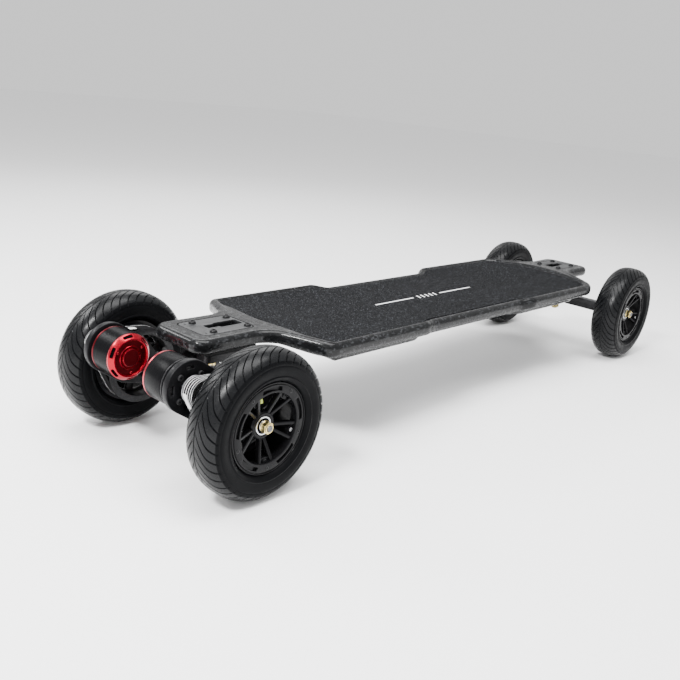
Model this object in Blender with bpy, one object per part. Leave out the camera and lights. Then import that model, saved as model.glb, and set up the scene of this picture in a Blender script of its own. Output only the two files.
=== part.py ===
"""Electric all-terrain skateboard with two belt-driven rear wheels.

Frame: the origin is on the ground under the middle of the board, +X points forward
along the deck, +Y to the left and +Z up. Lengths are in metres.

The tree of moving pieces is: the deck carries a rear and a front hanger, each on its
tilted steering axis; every hanger carries two wheels; the rear hanger also carries the
two motor rotors, whose belts drive the rear wheels. The power button slides in the lid.
"""

import math

import bmesh
import bpy
from mathutils import Matrix, Vector

MM = 0.001
GAP = 0.3 * MM  # clearance left between pieces that touch

# Wheels and axles
WHEELBASE = 968.6 * MM
TRACK = 264.6 * MM
TYRE_RADIUS = 89.0 * MM
TYRE_HALF_WIDTH = 25.5 * MM
BEAD_RADIUS = 54.5 * MM
BEAD_HALF_WIDTH = 20.6 * MM
CARCASS = 6.0 * MM
RIM_SEAT_RADIUS = 50.0 * MM
RIM_INNER_RADIUS = 41.5 * MM
RIM_WALL = 3.4 * MM
HUB_BOSS_RADIUS = 17.0 * MM
HUB_BOSS_HALF_WIDTH = 10.0 * MM
BEARING_RADIUS = 11.0 * MM
BEARING_WIDTH = 7.0 * MM
BEARING_BORE = 4.3 * MM
SPOKE_PAIRS = 5
SPOKE_PHASE = math.radians(54.5)
AXLE_RADIUS = 5.0 * MM
AXLE_END_RADIUS = 4.0 * MM
AXLE_SHOULDER = 10.3 * MM  # distance inboard of the wheel's middle where the axle steps down
AXLE_OVERHANG = 23.0 * MM
NUT_ACROSS_FLATS = 13.0 * MM
NUT_START = 11.6 * MM
NUT_LENGTH = 8.4 * MM

# Deck
DECK_REAR_END = -504.0 * MM
DECK_FRONT_END = 491.0 * MM
WIDE_HALF = 121.0 * MM
WAIST_HALF = 108.5 * MM
NECK_HALF = 45.5 * MM
NECK_END_HALF = 46.6 * MM
WAIST_CENTRE = -6.0 * MM
WAIST_START = 118.0 * MM
WAIST_END = 152.0 * MM
FLARE_X = 375.0 * MM  # the flare's straight edge passes through this point
FLARE_Y = 86.0 * MM
FLARE_ANGLE = math.radians(62.0)
SHOULDER_RADIUS = 24.0 * MM
NECK_FILLET = 38.0 * MM
END_CORNER = 18.0 * MM
NECK_TOP = 161.0 * MM
NECK_UNDER = 143.5 * MM
WIDE_TOP = 155.3 * MM
WIDE_UNDER = 135.5 * MM
WAIST_TOP = 150.5 * MM
WAIST_UNDER = 130.7 * MM
CENTRE_TOP = 146.7 * MM
DISH_END_TOP = 155.3 * MM
RAMP_START = 220.0 * MM
RAMP_END = 372.0 * MM
STEP_START = 366.0 * MM  # the dish ends in a step up to the neck
STEP_END = 380.0 * MM
RAIL_RAMP_START = 340.0 * MM
RAIL_RAMP_END = 395.0 * MM
UNDER_RAMP_START = 352.0 * MM
UNDER_RAMP_END = 392.0 * MM
LIP_DEPTH_WIDE = 3.6 * MM
LIP_DEPTH_WAIST = 2.0 * MM
RAIL_ROUNDING = 0.40  # of the deck's thickness at the edge
LIP_WIDTH = 5.5 * MM
ACROSS = (0.925, 0.84, 0.5, 0.0)  # rows across the deck, as parts of its half width

# Belly under the deck, and what it holds
BELLY_BOTTOM = 121.5 * MM
BELLY_END = 326.0 * MM
CAVITY_TOP = 143.6 * MM
CAVITY_HALF = (304.0 * MM, 76.0 * MM)
LID_POCKET_HALF = (312.0 * MM, 84.0 * MM)
LID_POCKET_TOP = 124.3 * MM
LID_THICKNESS = 2.4 * MM
LID_CORNER = 8.0 * MM
BATTERY_SIZE = (380.0 * MM, 142.0 * MM, 18.6 * MM)
BATTERY_X = 60.0 * MM
CONTROLLER_SIZE = (130.0 * MM, 84.0 * MM, 17.0 * MM)
CONTROLLER_X = -215.0 * MM
BUTTON_X = 279.0 * MM
BUTTON_Y = 34.0 * MM
BUTTON_RADIUS = 8.0 * MM
BUTTON_TRAVEL = 1.5 * MM
PORT_X = 279.0 * MM
PORT_Y = -34.0 * MM
PORT_RADIUS = 7.0 * MM
PORT_DEPTH = 12.0 * MM
FLANGE_WIDTH = 1.8 * MM

# Grip tape
GRIP_END = 366.0 * MM
GRIP_END_BOW = 13.0 * MM
GRIP_INSET = 1.2 * MM
GRIP_GAP = 0.8 * MM
GRIP_THICKNESS = 0.9 * MM

# Truck mounting
BOLT_X = 434.6 * MM
BOLT_HALF_X = 27.0 * MM
BOLT_HALF_Y = 20.6 * MM
BOLT_RADIUS = 2.5 * MM
BOLT_HOLE = 2.9 * MM
BOLT_HEAD_RADIUS = 4.75 * MM
BOLT_HEAD_HEIGHT = 2.7 * MM
LOCK_NUT_RADIUS = 4.6 * MM
LOCK_NUT_HEIGHT = 6.0 * MM
PLATE_INNER = 401.0 * MM
PLATE_OUTER = 481.5 * MM
PLATE_HALF_Y = 28.5 * MM
PLATE_CORNER = 8.0 * MM
PLATE_RECESS = 3.0 * MM
SLOT_NARROW = (457.0 * MM, 440.0 * MM, 5.5 * MM)
SLOT_WIDE = (440.0 * MM, 405.0 * MM, 8.5 * MM)
RISER_TOP = 143.2 * MM
RISER_BOTTOM = 133.3 * MM
BASE_TOP = 133.0 * MM
BASE_BOTTOM = 124.0 * MM
BASE_HALF_X = 40.5 * MM
BASE_HALF_Y = 28.0 * MM

# Truck, in the vertical plane through its middle: x runs outboard, z up
KINGPIN_START = (439.0 * MM, 124.0 * MM)
KINGPIN_LEAN = math.radians(28.5)
KINGPIN_RADIUS = 4.75 * MM
BOSS_END = 8.0 * MM
RING_MIDDLE = 33.5 * MM
RING_HALF = 6.0 * MM
RING_RADIUS = 16.0 * MM
RING_BORE = 6.6 * MM
KINGPIN_END = 62.0 * MM
PIVOT_TIP = 36.0 * MM
NOSE_RADIUS = 6.0 * MM
PIVOT_BORE = 6.5 * MM
HOUSING_RADIUS = 9.0 * MM
AXLE_HEIGHT = TYRE_RADIUS
ARM_HALF_X = 10.0 * MM
ARM_HALF_Z = 9.5 * MM
ARM_START = 16.0 * MM
ARM_END = 97.0 * MM

# Drive
MOTOR_X = -542.0 * MM
MOTOR_Z = 127.0 * MM
CAN_RADIUS = 28.6 * MM
CAN_BORE = 25.2 * MM
CAN_OUTER = 66.7 * MM  # end of the can next to the mount, as a distance from the middle
CAN_INNER_LEFT = 37.0 * MM
CAN_INNER_RIGHT = 34.3 * MM
CAP_FACE = 28.8 * MM
STATOR_RADIUS = 24.2 * MM
STATOR_INNER = 41.0 * MM
SHAFT_RADIUS = 4.0 * MM
SHAFT_BORE = 5.0 * MM
MOUNT_INNER = 74.3 * MM
MOUNT_OUTER = 82.3 * MM
MOUNT_RADIUS = 31.2 * MM
MOUNT_CLAMP_RADIUS = 20.0 * MM
MOUNT_STRAIGHT = 42.0 * MM
BELT_INNER_Y = 90.0 * MM
BELT_OUTER_Y = 104.5 * MM
BELT_PITCH = 5.0 * MM
MOTOR_TEETH = 18
WHEEL_TEETH = 60
BELT_THICKNESS = 1.6 * MM
FLANGE_HEIGHT = 2.4 * MM
PULLEY_BORE = 19.0 * MM

ROUND = 20  # segments round a wheel
PULLEY_ROUND = 24
SMALL_ROUND = 12

X_AXIS = Vector((1.0, 0.0, 0.0))
Y_AXIS = Vector((0.0, 1.0, 0.0))
Z_AXIS = Vector((0.0, 0.0, 1.0))

MATERIALS = {
    "carbon": ((0.035, 0.037, 0.040), 0.25, 0.0),
    "grip": ((0.050, 0.052, 0.056), 0.95, 0.0),
    "plate": ((0.34, 0.35, 0.36), 0.35, 0.8),
    "lid": ((0.05, 0.05, 0.055), 0.45, 0.6),
    "black_metal": ((0.030, 0.030, 0.033), 0.35, 0.7),
    "steel": ((0.55, 0.55, 0.56), 0.30, 1.0),
    "gold": ((0.75, 0.60, 0.28), 0.30, 1.0),
    "red": ((0.45, 0.010, 0.030), 0.30, 0.8),
    "can": ((0.060, 0.060, 0.065), 0.30, 0.6),
    "rubber": ((0.030, 0.031, 0.034), 0.70, 0.0),
    "bushing": ((0.10, 0.10, 0.11), 0.60, 0.0),
    "battery": ((0.05, 0.20, 0.45), 0.50, 0.0),
    "plastic": ((0.040, 0.040, 0.042), 0.45, 0.0),
}


# ---------------------------------------------------------------- mesh tools

def clear_scene():
    """Remove every object that the scene holds."""
    for item in list(bpy.data.objects):
        bpy.data.objects.remove(item, do_unlink=True)


def material(name):
    """Return the named Principled material, made on first use."""
    found = bpy.data.materials.get(name)
    if found:
        return found
    colour, roughness, metallic = MATERIALS[name]
    made = bpy.data.materials.new(name)
    made.use_nodes = True
    shader = made.node_tree.nodes["Principled BSDF"]
    shader.inputs["Base Color"].default_value = (*colour, 1.0)
    shader.inputs["Roughness"].default_value = roughness
    shader.inputs["Metallic"].default_value = metallic
    made.diffuse_color = (*colour, 1.0)
    return made


def finish_mesh(mesh):
    """Point the faces out and shade round faces smooth."""
    work = bmesh.new()
    work.from_mesh(mesh)
    bmesh.ops.remove_doubles(work, verts=work.verts, dist=1e-6)
    bmesh.ops.recalc_face_normals(work, faces=work.faces)
    work.to_mesh(mesh)
    work.free()
    mesh.shade_smooth()
    mesh.set_sharp_from_angle(angle=math.radians(35.0))


def add_object(name, verts, faces, finish):
    """Make an object from points and faces, with its material."""
    mesh = bpy.data.meshes.new(name)
    mesh.from_pydata([tuple(point) for point in verts], [], faces)
    finish_mesh(mesh)
    item = bpy.data.objects.new(name, mesh)
    item.data.materials.append(material(finish))
    bpy.context.scene.collection.objects.link(item)
    return item


def combine(item, tool, operation):
    """Apply an exact Boolean of one object on another and remove the tool."""
    modifier = item.modifiers.new("Combine", "BOOLEAN")
    modifier.operation = operation
    modifier.solver = "EXACT"
    modifier.object = tool
    graph = bpy.context.evaluated_depsgraph_get()
    result = bpy.data.meshes.new_from_object(item.evaluated_get(graph))
    item.modifiers.clear()
    result.name = item.name
    item.data = result
    finish_mesh(item.data)
    bpy.data.objects.remove(tool, do_unlink=True)
    return item


def join(item, *tools):
    """Unite other objects with an object."""
    for tool in tools:
        combine(item, tool, "UNION")
    return item


def cut(item, *tools):
    """Cut other objects out of an object."""
    for tool in tools:
        combine(item, tool, "DIFFERENCE")
    return item


def turned(name, profile, finish, centre, axis=Y_AXIS, segments=ROUND, ring=False):
    """Turn (radius, distance along the axis) points about an axis.

    An open profile starts and ends on the axis. A ring's profile is a closed loop.
    """
    axis = axis.normalized()
    side = axis.cross(X_AXIS if abs(axis.x) < 0.9 else Z_AXIS).normalized()
    across = axis.cross(side)
    verts = []
    rows = []
    for radius, along in profile:
        middle = centre + axis * along
        if radius < 1e-9:
            rows.append([len(verts)])
            verts.append(middle)
            continue
        rows.append(list(range(len(verts), len(verts) + segments)))
        for step in range(segments):
            angle = math.tau * step / segments
            verts.append(middle + (side * math.cos(angle) + across * math.sin(angle)) * radius)
    pairs = list(zip(rows, rows[1:]))
    if ring:
        pairs.append((rows[-1], rows[0]))
    faces = []
    for first, second in pairs:
        for step in range(segments):
            after = (step + 1) % segments
            corners = [first[step % len(first)], first[after % len(first)],
                       second[after % len(second)], second[step % len(second)]]
            face = list(dict.fromkeys(corners))
            if len(face) > 2:
                faces.append(face)
    return add_object(name, verts, faces, finish)


def cylinder(name, radius, start, end, finish, centre, axis=Y_AXIS, segments=SMALL_ROUND):
    """A plain round bar between two distances along an axis."""
    profile = [(0.0, start), (radius, start), (radius, end), (0.0, end)]
    return turned(name, profile, finish, centre, axis, segments)


def prism(name, loops, start, end, finish, origin=Vector(), u=X_AXIS, v=Y_AXIS):
    """Extrude a flat outline, the first loop, with holes, the other loops."""
    normal = u.cross(v)
    work = bmesh.new()
    for loop in loops:
        points = [work.verts.new((a, b, 0.0)) for a, b in loop]
        for first, second in zip(points, points[1:] + points[:1]):
            work.edges.new((first, second))
    bmesh.ops.triangle_fill(work, use_beauty=True, use_dissolve=False, edges=work.edges[:])
    work.verts.index_update()
    flat = [(vert.co.x, vert.co.y) for vert in work.verts]
    caps = [[vert.index for vert in face.verts] for face in work.faces]
    work.free()
    count = len(flat)
    verts = [origin + u * a + v * b + normal * start for a, b in flat]
    verts += [origin + u * a + v * b + normal * end for a, b in flat]
    faces = caps + [[index + count for index in face] for face in caps]
    first = 0
    for loop in loops:
        size = len(loop)
        for step in range(size):
            here = first + step
            after = first + (step + 1) % size
            faces.append([here, after, after + count, here + count])
        first += size
    return add_object(name, verts, faces, finish)


def arc(centre, radius, start, end, steps):
    """Points on an arc, both ends included; angles in radians."""
    points = []
    for step in range(steps + 1):
        angle = start + (end - start) * step / steps
        points.append((centre[0] + radius * math.cos(angle), centre[1] + radius * math.sin(angle)))
    return points


def circle(centre, radius, segments, phase=0.0):
    """Points round a circle."""
    points = arc(centre, radius, phase, phase + math.tau, segments)
    return points[:-1]


def rounded_rectangle(low, high, corner, steps=4):
    """Outline of a rectangle with round corners."""
    (x0, y0), (x1, y1) = low, high
    quarter = math.pi / 2.0
    centres = [(x1 - corner, y0 + corner), (x1 - corner, y1 - corner),
               (x0 + corner, y1 - corner), (x0 + corner, y0 + corner)]
    outline = []
    for index, centre in enumerate(centres):
        outline += arc(centre, corner, quarter * (index - 1), quarter * index, steps)
    return outline


def box(name, low, high, finish):
    """A rectangular block between two corners."""
    outline = [(low[0], low[1]), (high[0], low[1]), (high[0], high[1]), (low[0], high[1])]
    return prism(name, [outline], low[2], high[2], finish)


def smooth_step(value, low, high):
    """0 below low, 1 above high, with a smooth ramp between."""
    part = min(1.0, max(0.0, (value - low) / (high - low)))
    return part * part * (3.0 - 2.0 * part)


def mix(first, second, part):
    """Blend two numbers."""
    return first + (second - first) * part


# ---------------------------------------------------------------- deck shape

def width_part(x):
    """0 in the waist and 1 in the wide parts of the deck."""
    return smooth_step(abs(x - WAIST_CENTRE), WAIST_START, WAIST_END)


def neck_part(x):
    """0 on the platform and 1 on the necks, for the height of the rails."""
    return smooth_step(abs(x), RAIL_RAMP_START, RAIL_RAMP_END)


def rail_top(x):
    """Height of the top of the rail."""
    return mix(mix(WAIST_TOP, WIDE_TOP, width_part(x)), NECK_TOP, neck_part(x))


def rail_under(x):
    """Height of the underside of the rail."""
    rise = smooth_step(abs(x), UNDER_RAMP_START, UNDER_RAMP_END)
    return mix(mix(WAIST_UNDER, WIDE_UNDER, width_part(x)), NECK_UNDER, rise)


def foot_height(x, part):
    """Height of the standing surface; part is 0 on the middle line and 1 at the rail."""
    centre = mix(CENTRE_TOP, DISH_END_TOP, smooth_step(abs(x), RAMP_START, RAMP_END))
    lip = mix(mix(LIP_DEPTH_WAIST, LIP_DEPTH_WIDE, width_part(x)), 0.0, neck_part(x))
    dish = mix(centre, rail_top(x) - lip, abs(part) ** 3)
    neck = mix(NECK_TOP, rail_top(x), abs(part) ** 3)
    return mix(dish, neck, smooth_step(abs(x), STEP_START, STEP_END))


def platform_half(x):
    """Half width of the deck between its shoulders."""
    return mix(WAIST_HALF, WIDE_HALF, width_part(x))


def end_stations(end_x):
    """Edge points (x, half width, outward normal) from the middle to one end.

    x is measured outboard, towards that end.
    """
    sign = 1.0 if end_x > 0.0 else -1.0
    length = abs(end_x)
    slope = math.tan(FLARE_ANGLE)
    half_turn = math.tan(FLARE_ANGLE / 2.0)
    shoulder_x = FLARE_X - (WIDE_HALF - FLARE_Y) / slope
    fillet_x = FLARE_X + (FLARE_Y - NECK_HALF) / slope
    shoulder_start = shoulder_x - SHOULDER_RADIUS * half_turn
    fillet_end = fillet_x + NECK_FILLET * half_turn
    step_in = sign * WAIST_CENTRE
    plain = []
    for part in (0.0, 0.35, 0.65, 1.0):
        plain.append(mix(WAIST_START, WAIST_END, part) + step_in)
    plain += [RAMP_START, 262.0 * MM, 295.0 * MM, BELLY_END]
    stations = [(x, platform_half(sign * x), (0.0, 1.0)) for x in plain]
    for step in range(4):
        angle = math.pi / 2.0 - FLARE_ANGLE * step / 3.0
        normal = (math.cos(angle), math.sin(angle))
        stations.append((shoulder_start + SHOULDER_RADIUS * normal[0],
                         WIDE_HALF - SHOULDER_RADIUS * (1.0 - normal[1]), normal))
    step_x = STEP_START + normal[0] * (LIP_WIDTH + RAIL_ROUNDING * (NECK_TOP - NECK_UNDER))
    stations.append((step_x, FLARE_Y + (FLARE_X - step_x) * slope, normal))
    for step in range(4):
        angle = FLARE_ANGLE * (1.0 - step / 3.0)
        normal = (math.sin(angle), math.cos(angle))
        stations.append((fillet_end - NECK_FILLET * normal[0],
                         NECK_HALF + NECK_FILLET * (1.0 - normal[1]), normal))
    stations.append((430.0 * MM, NECK_HALF, (0.0, 1.0)))
    for step in range(3):
        angle = math.pi / 2.0 * (1.0 - step / 2.0)
        normal = (math.cos(angle), math.sin(angle))
        stations.append((length - END_CORNER * (1.0 - normal[0]),
                         NECK_END_HALF - END_CORNER * (1.0 - normal[1]), normal))
    return stations


def deck_stations():
    """All edge points of the right side, rear to front, with signed x."""
    rear = [(-x, half, (-normal[0], normal[1])) for x, half, normal in end_stations(DECK_REAR_END)]
    middle = [(0.0, WAIST_HALF, (0.0, 1.0))]
    return rear[::-1] + middle + end_stations(DECK_FRONT_END)


def across_parts():
    """Parts of the half width of the rows from the right rail to the left one."""
    right = [-part for part in ACROSS]
    return right + [part for part in ACROSS[-2::-1]]


def ring_rows(stations):
    """Loops of points round the deck's edge, from the standing surface to the belly."""
    rows = []
    quarter = math.pi / 2.0
    steps = [("top", None)] + [("upper", angle) for angle in (1.0, 0.5, 0.0)]
    steps += [("lower", angle) for angle in (0.0, 0.7)]
    for kind, turn in steps:
        loop = []
        for x, half, normal in stations:
            rounding = RAIL_ROUNDING * (rail_top(x) - rail_under(x))
            inset = rounding + LIP_WIDTH
            if kind != "top":
                inset = rounding * (1.0 - math.cos(turn * quarter))
            point_x = x - normal[0] * inset
            point_y = half - normal[1] * inset
            if kind == "top":
                height = foot_height(point_x, 1.0)
            elif kind == "upper":
                height = rail_top(x) - rounding * (1.0 - math.sin(turn * quarter))
            else:
                height = rail_under(x) + rounding * (1.0 - math.sin(turn * quarter))
            loop.append((point_x, point_y, height))
        rows.append(loop)
    return rows


def belly_height(x, part):
    """Height of the underside; part runs from 0 on the middle line to 1 at the rail."""
    reach = min(smooth_step(BELLY_END + 12.0 * MM - abs(x), 0.0, 12.0 * MM),
                smooth_step(0.925 - abs(part), 0.0, 0.085))
    return mix(rail_under(x), BELLY_BOTTOM, reach)


def make_deck():
    """The hollow carbon deck: rails, dished platform, necks and belly."""
    stations = deck_stations()
    loops = ring_rows(stations)
    parts = across_parts()
    count = len(stations)
    verts = []

    def full_loop(row, height_at):
        """Close a half loop round both ends, with points across each end."""
        ids = []
        right = [(x, -y, z) for x, y, z in row]
        left = [(x, y, z) for x, y, z in row]
        front = [(row[-1][0], row[-1][1] * part, height_at(row[-1], part)) for part in parts]
        rear = [(row[0][0], row[0][1] * part, height_at(row[0], part)) for part in parts]
        for point in right + front + left[::-1] + rear[::-1]:
            ids.append(len(verts))
            verts.append(Vector(point))
        return ids

    rings = []
    for index, row in enumerate(loops):
        if index == 0:
            rings.append(full_loop(row, lambda end, part: foot_height(end[0], part)))
        else:
            rings.append(full_loop(row, lambda end, part: end[2]))
    faces = []
    size = len(rings[0])
    for upper, lower in zip(rings, rings[1:]):
        for step in range(size):
            after = (step + 1) % size
            faces.append([upper[step], upper[after], lower[after], lower[step]])

    def fill(ring, row, height_at):
        """Fill a ring with rows of faces from the right rail to the left rail."""
        width = len(parts)
        front = ring[count:count + width]
        rear = ring[2 * count + width:][::-1]
        left = ring[count + width:2 * count + width][::-1]
        grid = []
        for station in range(count):
            if station == 0:
                inner = rear
            elif station == count - 1:
                inner = front
            else:
                inner = []
                x, y, _ = row[station]
                for part in parts:
                    inner.append(len(verts))
                    verts.append(Vector((x, y * part, height_at(x, part))))
            grid.append([ring[station]] + list(inner) + [left[station]])
        for first, second in zip(grid, grid[1:]):
            for step in range(len(first) - 1):
                faces.append([first[step], second[step], second[step + 1]])
                faces.append([first[step], second[step + 1], first[step + 1]])

    fill(rings[0], loops[0], foot_height)
    fill(rings[-1], loops[-1], belly_height)
    deck = add_object("deck_shell", verts, faces, "carbon")

    cavity = box("cavity", (-CAVITY_HALF[0], -CAVITY_HALF[1], BELLY_BOTTOM - 1.0 * MM),
                 (CAVITY_HALF[0], CAVITY_HALF[1], CAVITY_TOP), "carbon")
    pocket_low = (-LID_POCKET_HALF[0], -LID_POCKET_HALF[1])
    pocket_outline = rounded_rectangle(pocket_low, LID_POCKET_HALF, LID_CORNER)
    pocket = prism("pocket", [pocket_outline], BELLY_BOTTOM - 1.0 * MM, LID_POCKET_TOP, "carbon")
    cut(deck, cavity, pocket)
    for sign in (-1.0, 1.0):
        recess = prism("recess", [plate_outline(sign, GAP)], NECK_TOP - PLATE_RECESS,
                       NECK_TOP + 1.0 * MM, "carbon")
        slot = prism("slot", [slot_outline(sign, 0.0)], NECK_TOP - 9.0 * MM, NECK_TOP + 1.0 * MM, "carbon")
        cut(deck, recess, slot)
        for centre in bolt_centres(sign):
            hole = cylinder("hole", BOLT_HOLE, NECK_UNDER - 2.0 * MM, NECK_TOP + 1.0 * MM, "carbon",
                            Vector((centre[0], centre[1], 0.0)), Z_AXIS, 8)
            cut(deck, hole)
    return deck


def make_grip():
    """The sheet of grip tape on the standing surface, in the same rows as the deck."""
    across = [-1.0] + across_parts() + [1.0]
    last = GRIP_END - 26.0 * MM
    edge = ring_rows(deck_stations())[0]
    rows = [x for x, _, _ in edge if abs(x) < last]
    rows = [-GRIP_END, -last] + rows + [last, GRIP_END]
    verts = []
    for top in (0.0, 1.0):
        for row in rows:
            for part in across:
                bow = GRIP_END_BOW * part * part if abs(row) == GRIP_END else 0.0
                x = row - math.copysign(bow, row)
                inner = inner_half(x, edge)
                half = inner - GRIP_INSET
                height = foot_height(x, part * half / inner)
                verts.append(Vector((x, half * part, height + GRIP_GAP + GRIP_THICKNESS * top)))
    faces = []
    along = len(rows) - 1
    width = len(across)
    layer = width * len(rows)
    for row in range(along):
        for column in range(width - 1):
            corner = row * width + column
            for triangle in ([corner, corner + width, corner + width + 1],
                             [corner, corner + width + 1, corner + 1]):
                faces.append(triangle)
                faces.append([index + layer for index in triangle])
    rim = list(range(width))
    rim += [row * width + width - 1 for row in range(1, along + 1)]
    rim += [along * width + column for column in range(width - 2, -1, -1)]
    rim += [row * width for row in range(along - 1, 0, -1)]
    for here, after in zip(rim, rim[1:] + rim[:1]):
        faces.append([here, after, after + layer, here + layer])
    return add_object("grip_tape", verts, faces, "grip")


def inner_half(x, edge):
    """Half width of the dished surface, from the points of its edge."""
    for first, second in zip(edge, edge[1:]):
        if first[0] <= x <= second[0]:
            return mix(first[1], second[1], (x - first[0]) / (second[0] - first[0]))
    return edge[0][1]


# ---------------------------------------------------------------- deck fittings

def bolt_centres(sign):
    """Centres of the four bolts of one truck."""
    centres = []
    for along in (-1.0, 1.0):
        for side in (-1.0, 1.0):
            centres.append((sign * (BOLT_X + along * BOLT_HALF_X), side * BOLT_HALF_Y))
    return centres


def plate_outline(sign, grow):
    """Outline of the top plate on one neck."""
    low = (PLATE_INNER - grow, -PLATE_HALF_Y - grow)
    high = (PLATE_OUTER + grow, PLATE_HALF_Y + grow)
    outline = rounded_rectangle(low, high, PLATE_CORNER + grow, 3)
    return [(sign * x, sign * y) for x, y in outline]


def slot_outline(sign, shrink):
    """Outline of the stepped slot in the plate: narrow outboard, wide inboard."""
    outer, step, narrow = SLOT_NARROW
    _, inner, wide = SLOT_WIDE
    corners = [(outer - shrink, -narrow + shrink), (outer - shrink, narrow - shrink),
               (step - shrink, narrow - shrink), (step - shrink, wide - shrink),
               (inner + shrink, wide - shrink), (inner + shrink, -wide + shrink),
               (step - shrink, -wide + shrink), (step - shrink, -narrow + shrink)]
    return [(sign * x, sign * y) for x, y in corners]


def make_plate(end, sign):
    """The light metal plate that is let into the top of a neck."""
    loops = [plate_outline(sign, 0.0), slot_outline(sign, 0.0)]
    loops += [circle(centre, BOLT_HOLE, 8) for centre in bolt_centres(sign)]
    return prism("mount_plate_" + end, loops, NECK_TOP - PLATE_RECESS + GAP, NECK_TOP, "plate")


def make_bolt(name, centre):
    """A button-head bolt with its lock nut, through the neck, riser and baseplate."""
    head = NECK_TOP + GAP
    nut_top = BASE_BOTTOM - GAP
    nut_bottom = nut_top - LOCK_NUT_HEIGHT
    profile = [(0.0, nut_bottom - 1.5 * MM), (BOLT_RADIUS, nut_bottom - 1.5 * MM),
               (BOLT_RADIUS, nut_bottom), (LOCK_NUT_RADIUS, nut_bottom), (LOCK_NUT_RADIUS, nut_top),
               (BOLT_RADIUS, nut_top), (BOLT_RADIUS, head), (BOLT_HEAD_RADIUS, head),
               (BOLT_HEAD_RADIUS * 0.85, head + BOLT_HEAD_HEIGHT * 0.6),
               (BOLT_HEAD_RADIUS * 0.5, head + BOLT_HEAD_HEIGHT), (0.0, head + BOLT_HEAD_HEIGHT)]
    return turned(name, profile, "black_metal", Vector((centre[0], centre[1], 0.0)), Z_AXIS, 8)


def make_belly_lid():
    """The lid under the belly, with holes for the button and the charging socket."""
    inner = (LID_POCKET_HALF[0] - GAP, LID_POCKET_HALF[1] - GAP)
    outline = rounded_rectangle((-inner[0], -inner[1]), inner, LID_CORNER - GAP)
    button = circle((BUTTON_X, BUTTON_Y), BUTTON_RADIUS + GAP, ROUND)
    port = circle((PORT_X, PORT_Y), PORT_RADIUS + GAP, SMALL_ROUND)
    top = LID_POCKET_TOP - GAP
    return prism("belly_cover", [outline, button, port], top - LID_THICKNESS, top, "lid")


def make_battery():
    """The battery pack in the belly."""
    half = (BATTERY_SIZE[0] / 2.0, BATTERY_SIZE[1] / 2.0)
    outline = rounded_rectangle((BATTERY_X - half[0], -half[1]), (BATTERY_X + half[0], half[1]), 6.0 * MM)
    bottom = LID_POCKET_TOP + GAP
    return prism("battery_pack", [outline], bottom, bottom + BATTERY_SIZE[2], "battery")


def make_controller():
    """The motor controller: a finned aluminium box behind the battery."""
    half = (CONTROLLER_SIZE[0] / 2.0, CONTROLLER_SIZE[1] / 2.0)
    bottom = LID_POCKET_TOP + GAP
    fins = 8
    pitch = CONTROLLER_SIZE[1] / (2 * fins - 1)
    profile = [(-half[1], 0.0)]
    for fin in range(fins):
        left = -half[1] + 2 * fin * pitch
        profile += [(left, CONTROLLER_SIZE[2]), (left + pitch, CONTROLLER_SIZE[2])]
        if fin < fins - 1:
            profile += [(left + pitch, CONTROLLER_SIZE[2] - 4.0 * MM),
                        (left + 2 * pitch, CONTROLLER_SIZE[2] - 4.0 * MM)]
    profile += [(half[1], 0.0)]
    return prism("motor_controller", [profile], CONTROLLER_X - half[0], CONTROLLER_X + half[0],
                 "black_metal", Vector((0.0, 0.0, bottom)), Y_AXIS, Z_AXIS)


def make_button(pivot):
    """The power button, which is pressed up into the lid; a flange keeps it in."""
    face = LID_POCKET_TOP - GAP - LID_THICKNESS
    flange = LID_POCKET_TOP
    profile = [(0.0, face), (BUTTON_RADIUS - 1.5 * MM, face), (BUTTON_RADIUS, face + 0.6 * MM),
               (BUTTON_RADIUS, flange), (BUTTON_RADIUS + FLANGE_WIDTH, flange),
               (BUTTON_RADIUS + FLANGE_WIDTH, flange + FLANGE_WIDTH), (0.0, flange + FLANGE_WIDTH)]
    centre = Vector((BUTTON_X, BUTTON_Y, 0.0))
    return attach(turned("power_button", profile, "plastic", centre, Z_AXIS, ROUND), pivot)


def make_port():
    """The charging socket: a round flanged shell with its mouth open below."""
    face = LID_POCKET_TOP - GAP - LID_THICKNESS
    flange = LID_POCKET_TOP
    mouth = PORT_RADIUS - 2.2 * MM
    end = face + PORT_DEPTH
    profile = [(PORT_RADIUS, face), (PORT_RADIUS, flange), (PORT_RADIUS + FLANGE_WIDTH, flange),
               (PORT_RADIUS + FLANGE_WIDTH, flange + FLANGE_WIDTH), (PORT_RADIUS, flange + FLANGE_WIDTH),
               (PORT_RADIUS, end), (0.0, end), (0.0, end - 3.0 * MM), (mouth, end - 3.0 * MM),
               (mouth, face)]
    centre = Vector((PORT_X, PORT_Y, 0.0))
    return turned("charge_port", profile, "plastic", centre, Z_AXIS, SMALL_ROUND, ring=True)


# ---------------------------------------------------------------- trucks

def truck_axes(sign):
    """Directions of the kingpin (down and outboard) and of the steering axis."""
    kingpin = Vector((sign * math.sin(KINGPIN_LEAN), 0.0, -math.cos(KINGPIN_LEAN)))
    steering = Vector((sign * math.cos(KINGPIN_LEAN), 0.0, math.sin(KINGPIN_LEAN)))
    return kingpin, steering


def kingpin_foot(sign):
    """Where the kingpin leaves the flat underside of the baseplate."""
    return Vector((sign * KINGPIN_START[0], 0.0, KINGPIN_START[1]))


def ring_centre(sign):
    """Where the steering axis crosses the kingpin."""
    kingpin, _ = truck_axes(sign)
    return kingpin_foot(sign) + kingpin * RING_MIDDLE


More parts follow.
